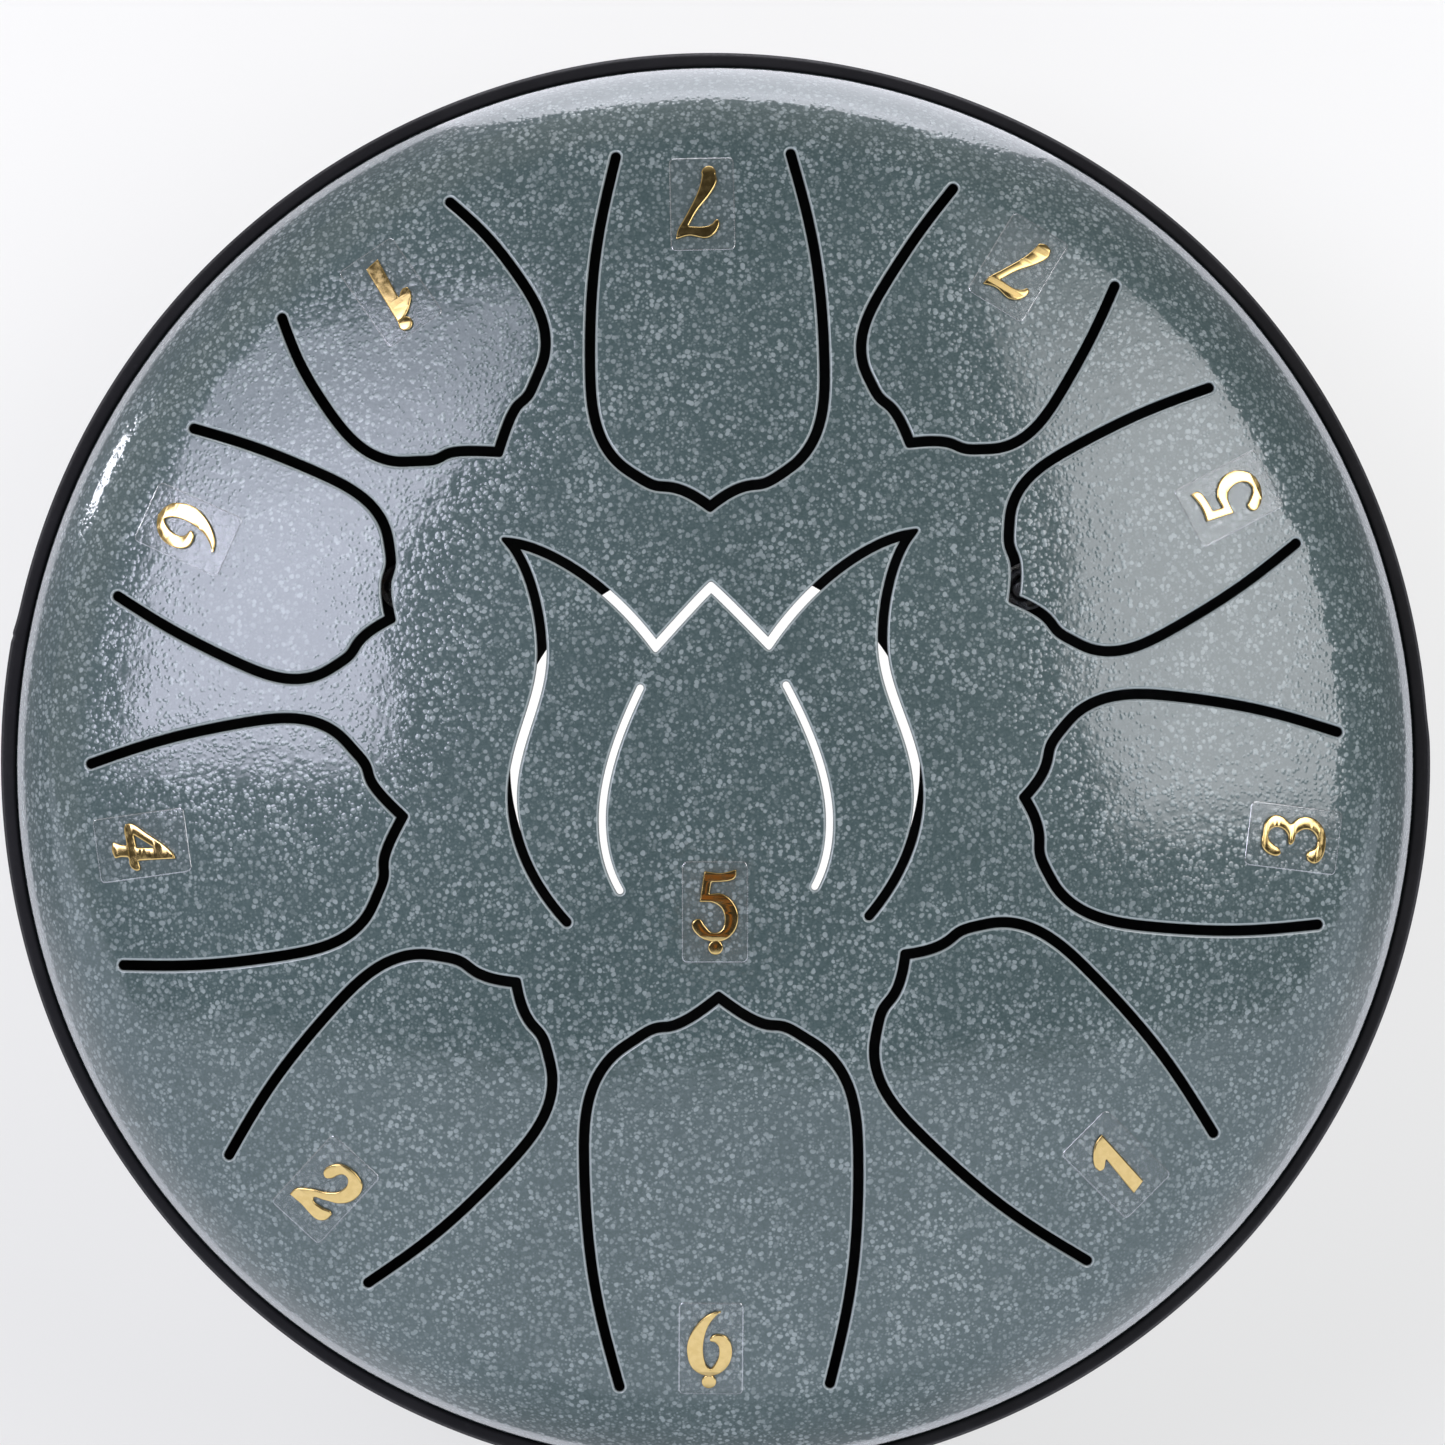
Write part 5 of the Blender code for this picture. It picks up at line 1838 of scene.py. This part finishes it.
for name, (film, numeral) in labels.items():
    start, end = flex_ends(name)
    tongue = shells[f"tongue_{name}"]
    for obj, node, slot in (
        (tongue, f"tongue_{name}", "paint"),
        (film, f"film_{name}", "clear_film"),
        (numeral, f"numeral_{name}", "gold_foil"),
    ):
        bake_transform(obj)
        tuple(start)
        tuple(end)
        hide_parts(node)

# -------------------------------------------------------------------- the stage
def stage_material(name, build):
    made = bpy.data.materials.new(name)
    made.use_nodes = True
    made.node_tree.nodes.clear()
    build(made.node_tree)
    return made


class Maths:
    """Chains of Math nodes in a tree that has no helper of its own."""

    def __init__(self, tree):
        self.tree = tree

    def __call__(self, operation, *values, clamp=False):
        node = self.tree.nodes.new("ShaderNodeMath")
        node.operation = operation
        node.use_clamp = clamp
        for socket, value in zip(node.inputs, values):
            if isinstance(value, bpy.types.NodeSocket):
                self.tree.links.new(value, socket)
            else:
                socket.default_value = value
        return node.outputs[0]

    def ramp(self, value, low, high, to_low=0.0, to_high=1.0):
        node = self.tree.nodes.new("ShaderNodeMapRange")
        node.interpolation_type = "SMOOTHSTEP"
        self.tree.links.new(value, node.inputs["Value"])
        for key, number in (
            ("From Min", low),
            ("From Max", high),
            ("To Min", to_low),
            ("To Max", to_high),
        ):
            node.inputs[key].default_value = number
        return node.outputs["Result"]

    def parts(self, vector):
        node = self.tree.nodes.new("ShaderNodeSeparateXYZ")
        self.tree.links.new(vector, node.inputs[0])
        return node.outputs

    def largest(self, *values):
        found = values[0]
        for value in values[1:]:
            found = self("MAXIMUM", found, value)
        return found


def floor_look(tree):
    """Plain pale floor, clear from below, with a painted shadow under the drum; what shines sees
    cards lying on it.
    """
    m = Maths(tree)
    place = tree.nodes.new("ShaderNodeNewGeometry")
    x, y, _ = m.parts(place.outputs["Position"])
    reach = m("SQRT", m("ADD", m("MULTIPLY", x, x), m("MULTIPLY", y, y)))
    away = m("MAXIMUM", m("SUBTRACT", reach, 0.115), 0.001)
    share = m("DIVIDE", away, m("ADD", away, 0.15))
    bearing = m("MULTIPLY", m("ARCTAN2", y, x), 57.29578)

    close = m(
        "MULTIPLY", m("MULTIPLY", away, 16.0), m.ramp(away, 0.085, 0.112, 1.0, 0.0)
    )
    off = m("SUBTRACT", 1.0, m("DIVIDE", m("ABSOLUTE", m("SUBTRACT", bearing, 87.0)), 27.0))
    limit = m("MULTIPLY", m("POWER", m("MAXIMUM", off, 0.0), 0.4), 1.25)
    back = m(
        "MULTIPLY",
        m("MINIMUM", m("MULTIPLY", m("POWER", away, 0.62), 8.7), 6.35),
        m.ramp(m("SUBTRACT", share, limit), -0.03, 0.03, 1.0, 0.0),
    )
    lower = m.ramp(m("DIVIDE", m("MULTIPLY", y, -1.0), reach), 0.05, 0.35)
    sides = m.ramp(m("DIVIDE", m("ABSOLUTE", x), reach), 0.15, 0.5)
    haze = m(
        "MULTIPLY",
        m("MINIMUM", m("MULTIPLY", away, 6.0), 1.05),
        m(
            "MAXIMUM",
            m("MULTIPLY", lower, m("MAXIMUM", sides, 0.4)),
            m.ramp(m("DIVIDE", x, reach), -0.1, 0.75, 0.27, 0.17),
        ),
    )
    streak = m(
        "MULTIPLY",
        m.ramp(m("ABSOLUTE", m("SUBTRACT", bearing, 154.2)), 3.0, 4.2, 17.0, 0.0),
        m.ramp(m("ABSOLUTE", m("SUBTRACT", share, 0.76)), 0.08, 0.11, 1.0, 0.0),
    )
    shine = tree.nodes.new("ShaderNodeEmission")
    shine.inputs["Color"].default_value = (0.97, 0.97, 1.06, 1.0)
    tree.links.new(
        m("ADD", m.largest(close, back, haze, streak), 0.03), shine.inputs["Strength"]
    )

    pale = tree.nodes.new("ShaderNodeBsdfDiffuse")
    pale.inputs["Color"].default_value = (0.86, 0.865, 0.87, 1.0)
    seen = tree.nodes.new("ShaderNodeBsdfDiffuse")
    seen.inputs["Color"].default_value = (0.262, 0.26, 0.25, 1.0)
    floor_light_and_painted_shadow = tree.nodes.new("ShaderNodeEmission")
    floor_light_and_painted_shadow.inputs["Color"].default_value = (1.0, 1.0, 1.0, 1.0)
    # painted shadow: darker where the drum stands over it, which only low views see; the glow also
    # grows towards +Y as a painted falloff of the light
    under = m.ramp(reach, 0.04, 0.135, 0.3, 1.0)
    tree.links.new(
        m("MULTIPLY", under, m.ramp(y, -0.17, 0.12, 0.575, 0.70)), floor_light_and_painted_shadow.inputs["Strength"]
    )
    both = tree.nodes.new("ShaderNodeAddShader")
    tree.links.new(seen.outputs[0], both.inputs[0])
    tree.links.new(floor_light_and_painted_shadow.outputs[0], both.inputs[1])

    path = tree.nodes.new("ShaderNodeLightPath")
    by_camera = tree.nodes.new("ShaderNodeMixShader")
    tree.links.new(path.outputs["Is Camera Ray"], by_camera.inputs[0])
    tree.links.new(pale.outputs[0], by_camera.inputs[1])
    tree.links.new(both.outputs[0], by_camera.inputs[2])
    by_shine = tree.nodes.new("ShaderNodeMixShader")
    tree.links.new(path.outputs["Is Glossy Ray"], by_shine.inputs[0])
    tree.links.new(by_camera.outputs[0], by_shine.inputs[1])
    tree.links.new(shine.outputs[0], by_shine.inputs[2])
    clear = tree.nodes.new("ShaderNodeBsdfTransparent")
    mixed = tree.nodes.new("ShaderNodeMixShader")
    out = tree.nodes.new("ShaderNodeOutputMaterial")
    tree.links.new(place.outputs["Backfacing"], mixed.inputs[0])
    tree.links.new(by_shine.outputs[0], mixed.inputs[1])
    tree.links.new(clear.outputs[0], mixed.inputs[2])
    tree.links.new(mixed.outputs[0], out.inputs["Surface"])


def glow_look(tree):
    """Painted light: a glowing disc for the lit floor seen through the sound hole, from overhead
    only.
    """
    m = Maths(tree)
    shine = tree.nodes.new("ShaderNodeEmission")
    shine.inputs["Strength"].default_value = 1.02
    clear = tree.nodes.new("ShaderNodeBsdfTransparent")
    place = tree.nodes.new("ShaderNodeNewGeometry")
    _, _, up = m.parts(place.outputs["Incoming"])
    mixed = tree.nodes.new("ShaderNodeMixShader")
    out = tree.nodes.new("ShaderNodeOutputMaterial")
    tree.links.new(m.ramp(up, 0.88, 0.94), mixed.inputs[0])
    tree.links.new(clear.outputs[0], mixed.inputs[1])
    tree.links.new(shine.outputs[0], mixed.inputs[2])
    tree.links.new(mixed.outputs[0], out.inputs["Surface"])


def flat_disc(name, radius, height, material, count=96):
    points = [
        (radius * math.cos(math.tau * i / count), radius * math.sin(math.tau * i / count), height)
        for i in range(count)
    ]
    mesh = bpy.data.meshes.new(name)
    mesh.from_pydata(points, [], [tuple(range(count))])
    mesh.materials.append(material)
    obj = bpy.data.objects.new(name, mesh)
    bpy.context.scene.collection.objects.link(obj)
    return obj


floor = flat_disc("floor", 6.0, 0.0, stage_material("floor", floor_look))
# painted light: the glowing disc under the sound hole, which lights nothing and shows in no
# reflection
glow = flat_disc("floor_glow", 0.0395, 0.0004, stage_material("glow", glow_look))
glow.visible_diffuse = False
glow.visible_glossy = False


def area_light(name, size, centre, towards, radiance, colour=(1, 1, 1)):
    """A soft box: size in metres, radiance as seen in a mirror."""
    data = bpy.data.lights.new(name, "AREA")
    data.shape = "RECTANGLE"
    data.size, data.size_y = size
    data.energy = radiance * math.pi * size[0] * size[1]
    data.color = colour
    obj = bpy.data.objects.new(name, data)
    bpy.context.scene.collection.objects.link(obj)
    obj.location = centre
    aim = (Vector(towards) - Vector(centre)).normalized()
    obj.rotation_mode = "QUATERNION"
    obj.rotation_quaternion = aim.to_track_quat("-Z", "Y")
    obj.visible_camera = False
    return obj


CROWN_TOP = (JOINT_Z + HALF_HEIGHT) * MM
BOX_Z = CROWN_TOP + 1.2


def shaped(light, build):
    """Gives a soft box its outline and its falloff, as a share of full light."""
    light.data.use_nodes = True
    tree = light.data.node_tree
    tree.nodes.clear()
    m = Maths(tree)
    place = tree.nodes.new("ShaderNodeNewGeometry")
    x, y, _ = m.parts(place.outputs["Position"])
    shine = tree.nodes.new("ShaderNodeEmission")
    tree.links.new(build(m, x, y), shine.inputs["Strength"])
    out = tree.nodes.new("ShaderNodeOutputLight")
    tree.links.new(shine.outputs[0], out.inputs["Surface"])


def left_shape(m, x, y):
    inner = m("ADD", m.ramp(y, 0.36, 0.66, -0.585, -0.41), m("MULTIPLY", m("MAXIMUM", m("SUBTRACT", y, 0.62), 0.0), 0.25))
    edge = m.ramp(m("SUBTRACT", x, inner), -0.035, 0.035, 1.0, 0.0)
    outer = m.ramp(m("ADD", x, m("MULTIPLY", y, -0.14)), -1.31, -1.20, 0.0, 1.0)
    foot = m.ramp(y, -0.045, 0.06, 0.0, 1.0)
    head = m.ramp(y, 0.88, 0.99, 1.0, 0.0)
    fade = m.ramp(y, 0.40, 0.86, 1.0, 0.42)
    return m("MULTIPLY", m("MULTIPLY", edge, outer), m("MULTIPLY", foot, m("MULTIPLY", head, fade)))


def right_shape(m, x, y):
    inner = m("ADD", m.ramp(y, -0.12, 0.14, 0.745, 0.65), m("MULTIPLY", m("MAXIMUM", m("SUBTRACT", y, 0.45), 0.0), -0.22))
    edge = m.ramp(m("SUBTRACT", x, inner), -0.04, 0.05, 0.0, 1.0)
    foot = m.ramp(m("ADD", y, m("MULTIPLY", x, -0.03)), -0.20, -0.08, 0.0, 1.0)
    head = m.ramp(m("SUBTRACT", y, m("MULTIPLY", x, 0.55)), 0.12, 0.85, 1.0, 0.12)
    return m("MULTIPLY", m("MULTIPLY", edge, foot), head)


shaped(
    area_light(
        "left_box", (1.2, 1.2), (-0.85, 0.45, BOX_Z), (-0.85, 0.45, 0.0), 8.6, (0.975, 0.965, 1.16)
    ),
    left_shape,
)
shaped(
    area_light(
        "right_box", (0.9, 1.5), (0.95, 0.5, BOX_Z), (0.95, 0.5, 0.0), 5.5, (1.0, 0.99, 1.02)
    ),
    right_shape,
)

world = bpy.data.worlds.new("studio")
bpy.context.scene.world = world
world.use_nodes = True
tree = world.node_tree
tree.nodes.clear()
m = Maths(tree)
place = tree.nodes.new("ShaderNodeNewGeometry")
# Incoming points back at the viewer, so the direction seen is its opposite.
back_x, back_y, back_z = m.parts(place.outputs["Incoming"])
ahead_x, ahead_y = m("MULTIPLY", back_x, -1.0), m("MULTIPLY", back_y, -1.0)
ahead_z = m("MAXIMUM", m("MULTIPLY", back_z, -1.0), 0.02)
slant = m("DIVIDE", back_y, ahead_z)
front = m.ramp(slant, 0.36, 0.44)
span = m("SQRT", m("ADD", m("MULTIPLY", ahead_x, ahead_x), m("MULTIPLY", ahead_y, ahead_y)))
sides = m.ramp(m("DIVIDE", m("ABSOLUTE", ahead_x), m("ADD", span, 0.001)), 0.2, 0.5)
low = m.ramp(slant, 1.0, 1.7)
reach = m("SUBTRACT", 1.0, m("MULTIPLY", m("MULTIPLY", low, 0.6), m("SUBTRACT", 1.0, sides)))
horizon = m(
    "MULTIPLY",
    m.ramp(m("DIVIDE", span, ahead_z), 0.9, 1.7),
    m.ramp(m("DIVIDE", ahead_x, m("ADD", span, 0.001)), -0.1, 0.75, 0.5, 0.08),
)
level = m(
    "ADD", m("MAXIMUM", horizon, m("MULTIPLY", m("MULTIPLY", front, reach), 1.25)), 0.055
)
lit = tree.nodes.new("ShaderNodeBackground")
tint = tree.nodes.new("ShaderNodeMix")
tint.data_type = "RGBA"
tree.links.new(front, tint.inputs[0])
tint.inputs[6].default_value = (1.0, 0.97, 0.93, 1.0)
tint.inputs[7].default_value = (0.93, 0.97, 1.10, 1.0)
# a small warm patch almost overhead, which the numeral in the middle mirrors
warm = m(
    "MULTIPLY",
    m.ramp(m("ABSOLUTE", m("DIVIDE", ahead_x, ahead_z)), 0.03, 0.05, 1.0, 0.0),
    m.ramp(m("ABSOLUTE", m("SUBTRACT", slant, 0.185)), 0.05, 0.08, 1.0, 0.0),
)
glow_tint = tree.nodes.new("ShaderNodeMix")
glow_tint.data_type = "RGBA"
tree.links.new(warm, glow_tint.inputs[0])
tree.links.new(tint.outputs[2], glow_tint.inputs[6])
glow_tint.inputs[7].default_value = (1.0, 0.42, 0.12, 1.0)
tree.links.new(glow_tint.outputs[2], lit.inputs["Color"])
tree.links.new(m("ADD", level, m("MULTIPLY", warm, 0.33)), lit.inputs["Strength"])
seen = tree.nodes.new("ShaderNodeBackground")
seen.inputs["Color"].default_value = (0.93, 0.935, 0.94, 1.0)
seen.inputs["Strength"].default_value = 1.0
path = tree.nodes.new("ShaderNodeLightPath")
either = tree.nodes.new("ShaderNodeMixShader")
end = tree.nodes.new("ShaderNodeOutputWorld")
tree.links.new(path.outputs["Is Camera Ray"], either.inputs[0])
tree.links.new(lit.outputs[0], either.inputs[1])
tree.links.new(seen.outputs[0], either.inputs[2])
tree.links.new(either.outputs[0], end.inputs["Surface"])

scene = bpy.context.scene
scene.view_settings.view_transform = "Standard"
scene.view_settings.look = "None"

camera_data = bpy.data.cameras.new("camera")
camera_data.sensor_width = 36.0
camera_data.lens = 125.72
camera_data.shift_x = 0.00519
camera_data.shift_y = 0.0301
camera_data.clip_start = 0.05
camera = bpy.data.objects.new("camera", camera_data)
scene.collection.objects.link(camera)
camera.location = (0.0, 0.0, JOINT_Z * MM + 0.9)
camera.rotation_euler = (0.0, 0.0, 0.0)
scene.camera = camera
